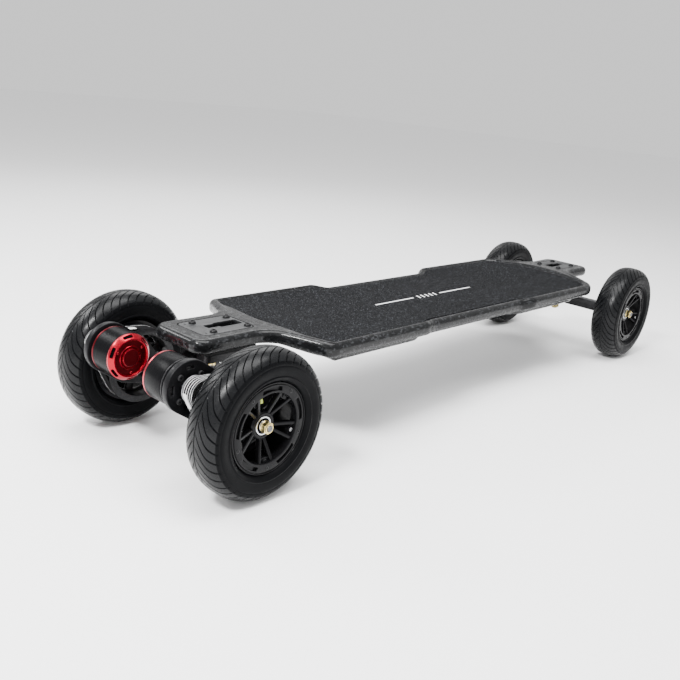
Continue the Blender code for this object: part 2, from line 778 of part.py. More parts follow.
def make_riser(end, sign):
    """The rubber riser pad between a neck and a baseplate."""
    low = (BOLT_X - BASE_HALF_X, -BASE_HALF_Y)
    high = (BOLT_X + BASE_HALF_X, BASE_HALF_Y)
    outline = [(sign * x, sign * y) for x, y in rounded_rectangle(low, high, 6.0 * MM, 2)]
    holes = [circle(centre, BOLT_HOLE, 8) for centre in bolt_centres(sign)]
    return prism("riser_pad_" + end, [outline] + holes, RISER_BOTTOM, RISER_TOP, "rubber")


def make_baseplate(end, sign):
    """The cast baseplate with its kingpin boss and pivot housing."""
    kingpin, steering = truck_axes(sign)
    foot = kingpin_foot(sign)
    centre = ring_centre(sign)
    low = (BOLT_X - BASE_HALF_X, -BASE_HALF_Y)
    high = (BOLT_X + BASE_HALF_X, BASE_HALF_Y)
    outline = [(sign * x, sign * y) for x, y in rounded_rectangle(low, high, 6.0 * MM, 2)]
    plate = prism("baseplate_" + end, [outline], BASE_BOTTOM, BASE_TOP, "black_metal")
    boss = cylinder("boss", 13.0 * MM, -1.0 * MM, BOSS_END, "black_metal", foot, kingpin)
    web = [(464.0, 124.6), (464.0, 132.4), (479.0, 132.4), (497.0, 122.0), (493.5, 113.0),
           (480.0, 110.0), (471.0, 124.6)]
    web = [(sign * x * MM, z * MM) for x, z in web]
    arm = prism("arm", [web], -8.0 * MM, 8.0 * MM, "black_metal", Vector(), X_AXIS, Z_AXIS)
    housing = cylinder("housing", HOUSING_RADIUS, PIVOT_TIP - 7.0 * MM, PIVOT_TIP + 5.0 * MM,
                       "black_metal", centre, steering)
    join(plate, boss, arm, housing)
    bore = cylinder("bore", KINGPIN_RADIUS + GAP, -12.0 * MM, BOSS_END + 2.0 * MM, "black_metal",
                    foot, kingpin)
    pocket = cylinder("pocket", 8.2 * MM, -14.0 * MM, -1.0 * MM, "black_metal", foot, kingpin)
    cup = cylinder("cup", PIVOT_BORE, PIVOT_TIP - 9.0 * MM, PIVOT_TIP + 1.0 * MM, "black_metal",
                   centre, steering)
    cut(plate, bore, pocket, cup)
    for hole_centre in bolt_centres(sign):
        hole = cylinder("hole", BOLT_HOLE, BASE_BOTTOM - 2.0 * MM, BASE_TOP + 2.0 * MM, "black_metal",
                        Vector((hole_centre[0], hole_centre[1], 0.0)), Z_AXIS, 8)
        cut(plate, hole)
    return plate


def make_kingpin(end, sign):
    """The kingpin with its washer and lock nut."""
    kingpin, _ = truck_axes(sign)
    seat = 52.6 * MM
    profile = [(0.0, -4.6 * MM), (7.4 * MM, -4.6 * MM), (7.4 * MM, -1.3 * MM), (KINGPIN_RADIUS, -1.3 * MM),
               (KINGPIN_RADIUS, seat), (9.6 * MM, seat), (9.6 * MM, seat + 1.6 * MM),
               (KINGPIN_RADIUS, seat + 1.6 * MM), (KINGPIN_RADIUS, KINGPIN_END), (0.0, KINGPIN_END)]
    pin = turned("kingpin_" + end, profile, "gold", kingpin_foot(sign), kingpin, SMALL_ROUND)
    nut = cylinder("nut", 8.0 * MM, seat + 1.0 * MM, KINGPIN_END - 1.0 * MM, "gold",
                   kingpin_foot(sign), kingpin, 6)
    return join(pin, nut)


def make_bushings(end, sign):
    """The barrel bushing above the hanger's ring and the cone bushing below it."""
    kingpin, _ = truck_axes(sign)
    bore = KINGPIN_RADIUS + 0.4 * MM
    top = BOSS_END + GAP
    ring_top = RING_MIDDLE - RING_HALF - GAP
    barrel = [(bore, top), (11.4 * MM, top), (12.4 * MM, top + 2.0 * MM), (12.4 * MM, ring_top - 2.0 * MM),
              (11.4 * MM, ring_top), (bore, ring_top)]
    ring_bottom = RING_MIDDLE + RING_HALF + GAP
    end_cone = 52.3 * MM
    cone = [(bore, ring_bottom), (11.2 * MM, ring_bottom), (11.4 * MM, ring_bottom + 2.0 * MM),
            (8.8 * MM, end_cone), (bore, end_cone)]
    foot = kingpin_foot(sign)
    turned("bushing_upper_" + end, barrel, "bushing", foot, kingpin, SMALL_ROUND, ring=True)
    turned("bushing_lower_" + end, cone, "bushing", foot, kingpin, SMALL_ROUND, ring=True)


def make_hanger(end, sign, pivot):
    """The hanger: bushing ring, pivot nose, middle web and two axle arms."""
    kingpin, steering = truck_axes(sign)
    centre = ring_centre(sign)
    ring = cylinder("hanger_" + end, RING_RADIUS, -RING_HALF, RING_HALF, "black_metal",
                    centre, kingpin, ROUND)
    nose_profile = [(0.0, 13.4 * MM), (7.0 * MM, 13.4 * MM), (7.0 * MM, 22.0 * MM),
                    (NOSE_RADIUS, PIVOT_TIP - 8.0 * MM), (NOSE_RADIUS, PIVOT_TIP - 3.0 * MM),
                    (NOSE_RADIUS * 0.6, PIVOT_TIP), (0.0, PIVOT_TIP)]
    nose = turned("nose", nose_profile, "black_metal", centre, steering, SMALL_ROUND)
    web_loop = [(9.0, -5.9), (20.0, -5.9), (27.0, 11.0), (32.5, 17.0), (25.0, 27.0),
                (14.2, 21.0), (14.2, 5.9), (9.0, 5.9)]
    web_loop = [(t * MM, s * MM) for t, s in web_loop]
    web = prism("web", [web_loop], -14.0 * MM, 14.0 * MM, "black_metal", centre, steering, kingpin)
    axle_middle = Vector((sign * WHEELBASE / 2.0, 0.0, AXLE_HEIGHT))
    core = cylinder("core", 10.0 * MM, -ARM_START - 2.0 * MM, ARM_START + 2.0 * MM, "black_metal",
                    axle_middle, Y_AXIS, ROUND)
    join(ring, nose, web, core)
    for side in (-1.0, 1.0):
        outline = rounded_rectangle((-ARM_HALF_X, -ARM_HALF_Z), (ARM_HALF_X, ARM_HALF_Z), 3.0 * MM, 2)
        start, stop = sorted((-side * ARM_START, -side * ARM_END))
        arm = prism("arm", [outline], start, stop, "black_metal", axle_middle, X_AXIS, Z_AXIS)
        join(ring, arm)
    ring_bore = cylinder("ring_bore", RING_BORE, -RING_HALF - 3.0 * MM, RING_HALF + 1.5 * MM,
                         "black_metal", centre, kingpin)
    axle_bore = cylinder("axle_bore", AXLE_RADIUS + GAP, -ARM_END - 5.0 * MM, ARM_END + 5.0 * MM,
                         "black_metal", axle_middle, Y_AXIS)
    cut(ring, ring_bore, axle_bore)
    return attach(ring, pivot)


def make_axle(end, sign, pivot):
    """The steel axle right through a hanger, stepped down for the bearings."""
    step = TRACK / 2.0 - AXLE_SHOULDER
    tip = TRACK / 2.0 + AXLE_OVERHANG
    profile = [(0.0, -tip), (AXLE_END_RADIUS - 0.6 * MM, -tip), (AXLE_END_RADIUS, -tip + 0.8 * MM),
               (AXLE_END_RADIUS, -step), (AXLE_RADIUS, -step), (AXLE_RADIUS, step), (AXLE_END_RADIUS, step),
               (AXLE_END_RADIUS, tip - 0.8 * MM), (AXLE_END_RADIUS - 0.6 * MM, tip), (0.0, tip)]
    middle = Vector((sign * WHEELBASE / 2.0, 0.0, AXLE_HEIGHT))
    axle = turned("axle_" + end, profile, "steel", middle, Y_AXIS, SMALL_ROUND)
    return attach(axle, pivot)


def make_axle_nut(name, centre, side, pivot):
    """The plated nut outside a wheel."""
    corner = NUT_ACROSS_FLATS / math.sqrt(3.0)
    outline = circle((0.0, 0.0), corner, 6)
    hole = circle((0.0, 0.0), AXLE_END_RADIUS + GAP, SMALL_ROUND)
    start, stop = sorted((-side * NUT_START, -side * (NUT_START + NUT_LENGTH)))
    nut = prism(name, [outline, hole], start, stop, "gold", centre, X_AXIS, Z_AXIS)
    return attach(nut, pivot)


# ---------------------------------------------------------------- wheels

def tyre_section():
    """Cross-section of the hollow tyre as (radius, distance from the wheel's middle)."""
    bulge_radius = 71.0 * MM
    crown = TYRE_RADIUS - bulge_radius
    outside = [(BEAD_RADIUS + 0.1 * MM, BEAD_HALF_WIDTH), (62.0 * MM, 24.7 * MM)]
    for degrees in (4.0, 40.0, 68.0):
        angle = math.radians(degrees)
        outside.append((bulge_radius + crown * math.sin(angle), TYRE_HALF_WIDTH * math.cos(angle) ** 0.75))
    seat = RIM_SEAT_RADIUS + GAP
    inside = [(79.0 * MM, 14.0 * MM), (66.0 * MM, TYRE_HALF_WIDTH - CARCASS), (seat, 11.0 * MM),
              (seat, BEAD_HALF_WIDTH - 4.8 * MM), (BEAD_RADIUS + 0.1 * MM, BEAD_HALF_WIDTH - 3.0 * MM)]
    section = [(r, -a) for r, a in outside] + [(TYRE_RADIUS, 0.0)] + outside[::-1]
    return section + inside[::-1] + [(r, -a) for r, a in inside]


def make_tyre(name, centre, pivot):
    """A pneumatic tyre, open to the rim on its inside."""
    tyre = turned(name, tyre_section(), "rubber", centre, Y_AXIS, ROUND, ring=True)
    return attach(tyre, pivot)


def spoke_web(name, centre, side):
    """The disc of five double spokes, sloping outboard from the boss to the rim."""
    loops = [circle((0.0, 0.0), 44.5 * MM, ROUND), circle((0.0, 0.0), 14.0 * MM, SMALL_ROUND)]
    turn = math.tau / SPOKE_PAIRS
    for pair in range(SPOKE_PAIRS):
        phase = SPOKE_PHASE - pair * turn
        edge = 0.31
        window = arc((0.0, 0.0), RIM_INNER_RADIUS, phase + edge, phase + turn - edge, 3)
        root = 0.34
        window += arc((0.0, 0.0), HUB_BOSS_RADIUS + 1.5 * MM, phase + turn - root, phase + root, 2)
        loops.append(window)
        gap = arc((0.0, 0.0), RIM_INNER_RADIUS, phase - 0.19, phase + 0.19, 1)
        gap += arc((0.0, 0.0), 22.0 * MM, phase + 0.05, phase - 0.05, 1)
        loops.append(gap)
    web = prism(name, loops, -3.0 * MM, 3.0 * MM, "black_metal", Vector(), X_AXIS, Z_AXIS)
    for vert in web.data.vertices:
        radius = math.hypot(vert.co.x, vert.co.z)
        slope = mix(6.5 * MM, 13.5 * MM, min(1.0, max(0.0, (radius - 17.0 * MM) / (24.0 * MM))))
        vert.co.y += side * slope
    web.data.transform(Matrix.Translation(centre))
    finish_mesh(web.data)
    return web


def make_hub(name, centre, side, pivot):
    """The cast hub: rim, five double spokes and bearing boss."""
    lip = BEAD_RADIUS - 0.2 * MM
    seat = RIM_SEAT_RADIUS
    barrel = seat - RIM_WALL
    out = side * BEAD_HALF_WIDTH
    flange = side * (BEAD_HALF_WIDTH - 2.6 * MM)
    ledge = side * (BEAD_HALF_WIDTH - 4.4 * MM)
    rim = [(RIM_INNER_RADIUS, out), (lip, out), (lip, flange), (seat, ledge), (seat, -ledge), (lip, -flange),
           (lip, -out), (barrel, -out), (barrel, side * 8.0 * MM), (RIM_INNER_RADIUS, side * 9.5 * MM)]
    hub = turned(name, rim, "black_metal", centre, Y_AXIS, ROUND, ring=True)
    boss_half = HUB_BOSS_HALF_WIDTH
    boss = [(BEARING_RADIUS + 0.1 * MM, -boss_half), (HUB_BOSS_RADIUS, -boss_half),
            (HUB_BOSS_RADIUS, boss_half), (BEARING_RADIUS + 0.1 * MM, boss_half)]
    join(hub, spoke_web("web", centre, side),
         turned("boss", boss, "black_metal", centre, Y_AXIS, SMALL_ROUND, ring=True))
    return attach(hub, pivot)


def make_bearings(name, centre, pivot):
    """Both ball bearings of a wheel with the spacer between them."""
    half = HUB_BOSS_HALF_WIDTH
    section = [(BEARING_BORE, -half), (BEARING_RADIUS, -half), (BEARING_RADIUS, half), (BEARING_BORE, half)]
    bearings = turned(name, section, "steel", centre, Y_AXIS, SMALL_ROUND, ring=True)
    return attach(bearings, pivot)


def pulley_radius(teeth):
    """Pitch radius of a pulley for the toothed belt."""
    return teeth * BELT_PITCH / math.tau


def make_wheel_pulley(name, centre, side, pivot):
    """The large pulley on the inner side of a driven wheel, dished to clear the hanger."""
    radius = pulley_radius(WHEEL_TEETH) - 0.6 * MM
    flange = radius + FLANGE_HEIGHT
    middle = TRACK / 2.0
    back = -side * (BEAD_HALF_WIDTH + GAP)
    belt_outer = -side * (middle - BELT_OUTER_Y - 0.5 * MM)
    belt_inner = -side * (middle - BELT_INNER_Y + 0.5 * MM)
    front = -side * (middle - BELT_INNER_Y + 2.0 * MM)
    section = [(PULLEY_BORE, back), (flange, back), (flange, belt_outer), (radius, belt_outer),
               (radius, belt_inner), (flange, belt_inner), (flange, front), (radius - 6.0 * MM, front),
               (radius - 8.0 * MM, back - side * 4.0 * MM), (PULLEY_BORE, back - side * 4.0 * MM)]
    pulley = turned(name, section, "black_metal", centre, Y_AXIS, PULLEY_ROUND, ring=True)
    return attach(pulley, pivot)


# ---------------------------------------------------------------- drive

def motor_centre():
    """A point on the motors' common axis, in the middle of the board."""
    return Vector((MOTOR_X, 0.0, MOTOR_Z))


def mount_outline():
    """Outline of a motor mount: round about the motor, straight, then drawn in at the axle."""
    axle = Vector((-WHEELBASE / 2.0, AXLE_HEIGHT))
    motor = Vector((MOTOR_X, MOTOR_Z))
    along = axle - motor
    tilt = math.atan2(along.y, along.x)
    quarter = math.pi / 2.0
    outline = arc(motor, MOUNT_RADIUS, tilt + quarter, tilt + 3.0 * quarter, 10)
    side = Vector((-math.sin(tilt), math.cos(tilt)))
    reach = motor + along.normalized() * MOUNT_STRAIGHT
    lower = reach - side * MOUNT_RADIUS
    upper = reach + side * MOUNT_RADIUS
    outline.append((lower.x, lower.y))
    draw_in = math.radians(20.0)
    outline += arc(axle, MOUNT_CLAMP_RADIUS, tilt - quarter + draw_in, tilt + quarter - draw_in, 6)
    outline.append((upper.x, upper.y))
    return outline


def make_motor_mount(name, side, pivot):
    """The plate that is clamped round a hanger arm and carries a motor."""
    axle = (-WHEELBASE / 2.0, AXLE_HEIGHT)
    grow = GAP
    hole = rounded_rectangle((axle[0] - ARM_HALF_X - grow, axle[1] - ARM_HALF_Z - grow),
                             (axle[0] + ARM_HALF_X + grow, axle[1] + ARM_HALF_Z + grow), 3.0 * MM + grow, 2)
    pilot = circle((MOTOR_X, MOTOR_Z), 11.0 * MM, SMALL_ROUND)
    start, stop = sorted((-side * MOUNT_INNER, -side * MOUNT_OUTER))
    loops = [mount_outline(), hole, pilot]
    mount = prism(name, loops, start, stop, "black_metal", Vector(), X_AXIS, Z_AXIS)
    return attach(mount, pivot)


def make_stator(name, side, pivot):
    """The fixed part of a motor: base ring against the mount and the wound core."""
    base = CAN_OUTER + GAP
    section = [(SHAFT_BORE, side * STATOR_INNER), (STATOR_RADIUS, side * STATOR_INNER),
               (STATOR_RADIUS, side * (base - 4.0 * MM)), (14.0 * MM, side * (base - 4.0 * MM)),
               (14.0 * MM, side * base), (CAN_RADIUS, side * base), (CAN_RADIUS, side * (base + 2.4 * MM)),
               (20.0 * MM, side * (MOUNT_INNER - GAP)), (SHAFT_BORE, side * (MOUNT_INNER - GAP))]
    stator = turned(name, section, "red", motor_centre(), Y_AXIS, ROUND, ring=True)
    return attach(stator, pivot)


def make_can_left(pivot):
    """The left motor's black can, an open tube behind its red cap."""
    section = [(CAN_BORE, CAN_INNER_LEFT), (CAN_RADIUS, CAN_INNER_LEFT), (CAN_RADIUS, CAN_OUTER),
               (CAN_BORE, CAN_OUTER)]
    can = turned("motor_can_left", section, "can", motor_centre(), Y_AXIS, ROUND, ring=True)
    return attach(can, pivot)


def make_cap_left(pivot):
    """The left motor's red end cap with its dished face and middle boss."""
    back = CAN_INNER_LEFT - GAP
    hole = SHAFT_RADIUS + GAP
    section = [(hole, back), (CAN_RADIUS, back), (CAN_RADIUS, CAP_FACE + 1.2 * MM),
               (CAN_RADIUS - 1.2 * MM, CAP_FACE), (CAN_RADIUS - 3.6 * MM, CAP_FACE),
               (CAN_RADIUS - 4.4 * MM, CAP_FACE + 2.6 * MM), (12.4 * MM, CAP_FACE + 2.6 * MM),
               (11.6 * MM, CAP_FACE + 0.8 * MM), (hole, CAP_FACE + 0.8 * MM)]
    cap = turned("motor_cap_left", section, "red", motor_centre(), Y_AXIS, ROUND, ring=True)
    return attach(cap, pivot)


def make_can_right(pivot):
    """The right motor's can, closed at its inner end."""
    hole = SHAFT_RADIUS + GAP
    face = -CAN_INNER_RIGHT
    section = [(hole, face), (CAN_RADIUS - 0.8 * MM, face), (CAN_RADIUS, face - 0.8 * MM),
               (CAN_RADIUS, -CAN_OUTER), (CAN_BORE, -CAN_OUTER), (CAN_BORE, face - 3.0 * MM),
               (hole, face - 3.0 * MM)]
    can = turned("motor_can_right", section, "can", motor_centre(), Y_AXIS, ROUND, ring=True)
    return attach(can, pivot)


def make_motor_pulley(name, side, shaft_start, pivot):
    """A motor shaft with its small belt pulley and flanges."""
    radius = pulley_radius(MOTOR_TEETH) - 0.6 * MM
    flange = radius + FLANGE_HEIGHT
    inner = BELT_INNER_Y - 0.5 * MM
    outer = BELT_OUTER_Y + 0.4 * MM
    profile = [(0.0, shaft_start), (SHAFT_RADIUS, shaft_start), (SHAFT_RADIUS, inner - 1.5 * MM),
               (flange, inner - 1.5 * MM), (flange, inner), (radius, inner), (radius, outer),
               (flange, outer), (flange, outer + 1.0 * MM), (0.0, outer + 1.0 * MM)]
    profile = [(r, side * a) for r, a in profile]
    pulley = turned(name, profile, "steel", motor_centre(), Y_AXIS, SMALL_ROUND)
    return attach(pulley, pivot)


def belt_outline(motor_radius, wheel_radius):
    """The loop round both pulleys at the given radii."""
    motor = Vector((MOTOR_X, MOTOR_Z))
    wheel = Vector((-WHEELBASE / 2.0, AXLE_HEIGHT))
    along = wheel - motor
    tilt = math.atan2(along.y, along.x)
    lean = math.asin((wheel_radius - motor_radius) / along.length)
    quarter = math.pi / 2.0
    first = tilt + quarter + lean
    second = tilt - quarter - lean
    outline = arc(motor, motor_radius, first, second + math.tau, 8)
    outline += arc(wheel, wheel_radius, second, first, 18)
    return outline


def make_belt(name, side, pivot):
    """The toothed belt between a motor pulley and a wheel pulley."""
    small = pulley_radius(MOTOR_TEETH)
    large = pulley_radius(WHEEL_TEETH)
    outer = belt_outline(small + BELT_THICKNESS, large + BELT_THICKNESS)
    inner = belt_outline(small, large)
    start, stop = sorted((-side * BELT_INNER_Y, -side * BELT_OUTER_Y))
    belt = prism(name, [outer, inner], start, stop, "rubber", Vector(), X_AXIS, Z_AXIS)
    return attach(belt, pivot)


# ---------------------------------------------------------------- assembly

def add_pivot(name, place, parent=None):
    """An empty on a joint's axis, which carries the pieces that move about it."""
    pivot = bpy.data.objects.new(name, None)
    pivot.empty_display_size = 0.02
    bpy.context.scene.collection.objects.link(pivot)
    pivot.parent = parent
    pivot.location = place - (Vector(parent["place"]) if parent else Vector())
    pivot["place"] = place
    return pivot


def attach(item, pivot):
    """Put an object's origin on its pivot and make it the pivot's child."""
    item.data.transform(Matrix.Translation(-Vector(pivot["place"])))
    item.parent = pivot
    return item


def make_wheel(end, side_name, sign, side, steer):
    """One wheel with its pieces, and its nut on the axle."""
    tag = end + "_" + side_name
    centre = Vector((sign * WHEELBASE / 2.0, side * TRACK / 2.0, AXLE_HEIGHT))
    pivot = add_pivot("axis_wheel_" + tag, centre, steer)
    make_tyre("tyre_" + tag, centre, pivot)
    make_hub("hub_" + tag, centre, side, pivot)
    make_bearings("bearings_" + tag, centre, pivot)
    if end == "rear":
        make_wheel_pulley("wheel_pulley_" + side_name, centre, side, pivot)
    make_axle_nut("axle_nut_" + tag, centre, side, steer)


def make_drive(side_name, side, steer):
    """One motor with its mount, pulley and belt."""
    make_motor_mount("motor_mount_" + side_name, side, steer)
    make_stator("motor_stator_" + side_name, side, steer)
    make_belt("belt_" + side_name, side, steer)
    pivot = add_pivot("axis_motor_" + side_name, Vector((MOTOR_X, side * CAN_OUTER, MOTOR_Z)), steer)
    if side_name == "left":
        make_can_left(pivot)
        make_cap_left(pivot)
        make_motor_pulley("motor_pulley_left", side, CAP_FACE + 1.2 * MM, pivot)
    else:
        make_can_right(pivot)
        make_motor_pulley("motor_pulley_right", side, CAN_INNER_RIGHT + 0.4 * MM, pivot)


def make_truck(end, sign):
    """One truck: fixed pieces under the deck, and the hanger with its wheels."""
    make_plate(end, sign)
    make_riser(end, sign)
    make_baseplate(end, sign)
    for index, centre in enumerate(bolt_centres(sign)):
        make_bolt("deck_bolt_%s_%d" % (end, index + 1), centre)
    make_kingpin(end, sign)
    make_bushings(end, sign)
    steer = add_pivot("axis_steer_" + end, ring_centre(sign))
    make_hanger(end, sign, steer)
    make_axle(end, sign, steer)
    for side_name, side in (("left", 1.0), ("right", -1.0)):
        make_wheel(end, side_name, sign, side, steer)
        if end == "rear":
            make_drive(side_name, side, steer)


def build():
    """Build the whole board."""
    clear_scene()
    make_deck()
    make_grip()
    make_belly_lid()
    make_battery()
    make_controller()
    make_port()
    make_button(add_pivot("axis_button", Vector((BUTTON_X, BUTTON_Y, LID_POCKET_TOP))))
    make_truck("rear", -1.0)
    make_truck("front", 1.0)


build()
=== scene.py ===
"""Looks of the electric skateboard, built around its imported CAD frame."""

import math

import bmesh
import bpy
from mathutils import Matrix, Vector


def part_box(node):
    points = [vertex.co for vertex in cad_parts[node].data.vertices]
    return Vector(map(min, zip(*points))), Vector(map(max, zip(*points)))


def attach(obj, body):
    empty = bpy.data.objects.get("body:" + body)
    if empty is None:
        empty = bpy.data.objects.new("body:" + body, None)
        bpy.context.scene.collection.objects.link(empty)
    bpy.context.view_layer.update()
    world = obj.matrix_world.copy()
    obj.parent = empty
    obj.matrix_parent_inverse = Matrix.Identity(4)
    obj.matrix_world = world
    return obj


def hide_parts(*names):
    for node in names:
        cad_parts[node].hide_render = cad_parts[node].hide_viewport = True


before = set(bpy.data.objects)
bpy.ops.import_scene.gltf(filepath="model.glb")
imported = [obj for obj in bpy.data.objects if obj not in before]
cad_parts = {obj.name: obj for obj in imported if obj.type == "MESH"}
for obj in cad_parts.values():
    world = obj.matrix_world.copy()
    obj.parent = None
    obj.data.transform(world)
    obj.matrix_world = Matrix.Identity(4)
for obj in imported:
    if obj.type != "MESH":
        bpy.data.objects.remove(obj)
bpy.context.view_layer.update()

MM = 0.001
QUARTER = math.pi / 2.0
X_AXIS = Vector((1.0, 0.0, 0.0))
Y_AXIS = Vector((0.0, 1.0, 0.0))
Z_AXIS = Vector((0.0, 0.0, 1.0))
SIDES = (("left", 1.0), ("right", -1.0))
ENDS = (("rear", -1.0), ("front", 1.0))


# ---------------------------------------------------------------- camera, light and floor

CAMERA_PLACE = (-1.05778, -0.72992, 0.44809)
CAMERA_YAW = 0.7226
CAMERA_PITCH = -0.288
CAMERA_ROLL = 0.1022
CAMERA_LENS = 42.47
CAMERA_SENSOR = 36.0
CAMERA_NEAR = 0.02
CAMERA_SHIFT = (0.0157, -0.0131)

WORLD_STRENGTH = 1.0
FLOOR_DROP = 0.2 * MM
FLOOR_REACH = 12.0
BOARD = (0.0, 0.0, 0.1)
TAIL = (-0.4, 0.0, 0.1)
MOTORS = (-0.5, -0.1, 0.1)
LIGHTS = (
    # name, place, aim, size, power
    ("key", (-0.3, -0.2, 2.2), BOARD, (2.2, 1.4), 110.0),
    ("rim", (0.9, 1.7, 1.5), BOARD, (1.6, 0.9), 14.0),
    ("tail", (-1.75, -0.25, 1.7), MOTORS, (0.55, 0.3), 85.0),
    ("back", (-1.0, 1.5, 1.2), TAIL, (0.8, 0.3), 16.0),
    ("side", (-1.9, -1.1, 0.8), TAIL, (0.6, 0.4), 2.0),
)


def make_camera():
    """The camera at the height and angle from which the board is seen."""
    forward = Vector((math.cos(CAMERA_YAW) * math.cos(CAMERA_PITCH),
                      math.sin(CAMERA_YAW) * math.cos(CAMERA_PITCH), math.sin(CAMERA_PITCH)))
    flat_right = forward.cross(Z_AXIS).normalized()
    flat_up = flat_right.cross(forward)
    cosine, sine = math.cos(CAMERA_ROLL), math.sin(CAMERA_ROLL)
    right = flat_right * cosine + flat_up * sine
    up = flat_up * cosine - flat_right * sine
    data = bpy.data.cameras.new("camera")
    data.lens = CAMERA_LENS
    data.sensor_width = CAMERA_SENSOR
    data.shift_x, data.shift_y = CAMERA_SHIFT
    data.clip_start = CAMERA_NEAR
    camera = bpy.data.objects.new("camera", data)
    turn = Matrix((right, up, -forward)).transposed().to_4x4()
    camera.matrix_world = Matrix.Translation(CAMERA_PLACE) @ turn
    bpy.context.scene.collection.objects.link(camera)
    bpy.context.scene.camera = camera


def area_light(name, place, aim, size, power):
    """A soft rectangular studio light."""
    data = bpy.data.lights.new(name, "AREA")
    data.shape = "RECTANGLE"
    data.size, data.size_y = size
    data.energy = power
    light = bpy.data.objects.new(name, data)
    light.location = place
    light.rotation_euler = (Vector(aim) - Vector(place)).to_track_quat("-Z", "Y").to_euler()
    bpy.context.scene.collection.objects.link(light)


def make_studio():
    """A pale world, soft boxes and a plain pale floor."""
    world = bpy.data.worlds.new("studio")
    world.use_nodes = True
    backdrop = world.node_tree.nodes["Background"]
    backdrop.inputs["Color"].default_value = (1.0, 1.0, 1.0, 1.0)
    backdrop.inputs["Strength"].default_value = WORLD_STRENGTH
    bpy.context.scene.world = world
    for light in LIGHTS:
        area_light(*light)
    mesh = bpy.data.meshes.new("floor")
    reach = FLOOR_REACH
    corners = ((-reach, -reach), (reach, -reach), (reach, reach), (-reach, reach))
    mesh.from_pydata([(x, y, -FLOOR_DROP) for x, y in corners], [], [(0, 1, 2, 3)])
    floor = bpy.data.objects.new("floor", mesh)
    bpy.context.scene.collection.objects.link(floor)
    floor.data.materials.append(painted("floor_paper", (0.965, 0.965, 0.965), (0.95, 0.95, 0.955),
                                        roughness=0.9, grain=40.0, bump=0.02))


# ---------------------------------------------------------------- materials

FINE_GRAIN = 1400.0


class Graph:
    """Short calls for building a material's nodes."""

    def __init__(self, name):
        self.material = bpy.data.materials.new(name)
        self.material.use_nodes = True
        self.nodes = self.material.node_tree.nodes
        self.links = self.material.node_tree.links
        self.shader = self.nodes["Principled BSDF"]
        self.place = self.nodes.new("ShaderNodeTexCoord").outputs["Object"]

    def link(self, source, target):
        """Connect a socket, or set a number or colour."""
        if isinstance(source, bpy.types.NodeSocket):
            self.links.new(source, target)
        else:
            target.default_value = source

    def set(self, name, source):
        """Feed one input of the surface shader."""
        self.link(source, self.shader.inputs[name])

    def math(self, operation, first, second):
        """A number from two others."""
        node = self.nodes.new("ShaderNodeMath")
        node.operation = operation
        self.link(first, node.inputs[0])
        self.link(second, node.inputs[1])
        return node.outputs[0]

    def stretch(self, scale, turn=(0.0, 0.0, 0.0)):
        """Object coordinates, scaled and turned."""
        node = self.nodes.new("ShaderNodeMapping")
        self.link(self.place, node.inputs["Vector"])
        node.inputs["Scale"].default_value = scale
        node.inputs["Rotation"].default_value = turn
        return node.outputs[0]

    def noise(self, scale, detail=3.0, vector=None):
        """Soft cloudy noise."""
        node = self.nodes.new("ShaderNodeTexNoise")
        self.link(self.place if vector is None else vector, node.inputs["Vector"])
        node.inputs["Scale"].default_value = scale
        node.inputs["Detail"].default_value = detail
        node.inputs["Roughness"].default_value = 0.55
        return node.outputs[0]

    def cells(self, scale, vector=None):
        """Cell noise: two random values for each cell."""
        node = self.nodes.new("ShaderNodeTexVoronoi")
        self.link(self.place if vector is None else vector, node.inputs["Vector"])
        node.inputs["Scale"].default_value = scale
        spread = self.nodes.new("ShaderNodeSeparateColor")
        self.links.new(node.outputs["Color"], spread.inputs[0])
        return spread.outputs[0], spread.outputs[1]

    def ramp(self, source, low, high, start=0.0, end=1.0):
        """Map a range smoothly to another."""
        node = self.nodes.new("ShaderNodeMapRange")
        node.interpolation_type = "SMOOTHSTEP"
        self.link(source, node.inputs["Value"])
        for name, value in (("From Min", low), ("From Max", high), ("To Min", start), ("To Max", end)):
            self.link(value, node.inputs[name])
        return node.outputs[0]

    def blend(self, part, first, second):
        """Mix two colours."""
        node = self.nodes.new("ShaderNodeMix")
        node.data_type = "RGBA"
        self.link(part, node.inputs[0])
        for value, target in ((first, node.inputs[6]), (second, node.inputs[7])):
            if isinstance(value, tuple):
                value = (*value[:3], 1.0)
            self.link(value, target)
        return node.outputs[2]

    def bump(self, height, strength, depth):
        """Surface relief from a height."""
        node = self.nodes.new("ShaderNodeBump")
        node.inputs["Strength"].default_value = strength
        node.inputs["Distance"].default_value = depth
        self.link(height, node.inputs["Height"])
        return node.outputs[0]

    def edges(self):
        """1 on sharp outer edges, which take their own colour: wear, and a painted highlight where that colour
        is lighter.
        """
        node = self.nodes.new("ShaderNodeNewGeometry")
        return self.ramp(node.outputs["Pointiness"], 0.52, 0.6)


def painted(name, colour, tint, roughness=0.4, metallic=0.0, grain=120.0, bump=0.1, coat=0.0,
            edge_tone=None, spread=0.10, specular=0.5):
    """A finish with cloudy colour change, uneven gloss, fine grain and, if given, lighter edges: wear with a
    painted edge highlight.
    """
    graph = Graph(name)
    cloud = graph.noise(grain)
    base = graph.blend(cloud, colour, tint)
    if edge_tone is not None:
        # Lighter patches on sharp edges: wear, and a painted edge highlight.
        worn_and_lit_edges = graph.math("MULTIPLY", graph.edges(), graph.ramp(graph.noise(grain * 3.0), 0.42, 0.62))
        base = graph.blend(graph.math("MULTIPLY", worn_and_lit_edges, 0.7), base, edge_tone)
    graph.set("Base Color", base)
    graph.set("Metallic", metallic)
    graph.set("Roughness", graph.ramp(graph.noise(grain * 1.7, 5.0), 0.3, 0.7,
                                      roughness - spread / 2.0, roughness + spread / 2.0))
    graph.set("Normal", graph.bump(graph.noise(FINE_GRAIN, 2.0), bump, 0.0004))
    graph.set("Coat Weight", coat)
    graph.set("Coat Roughness", 0.12)
    graph.set("Specular IOR Level", specular)
    return graph.material


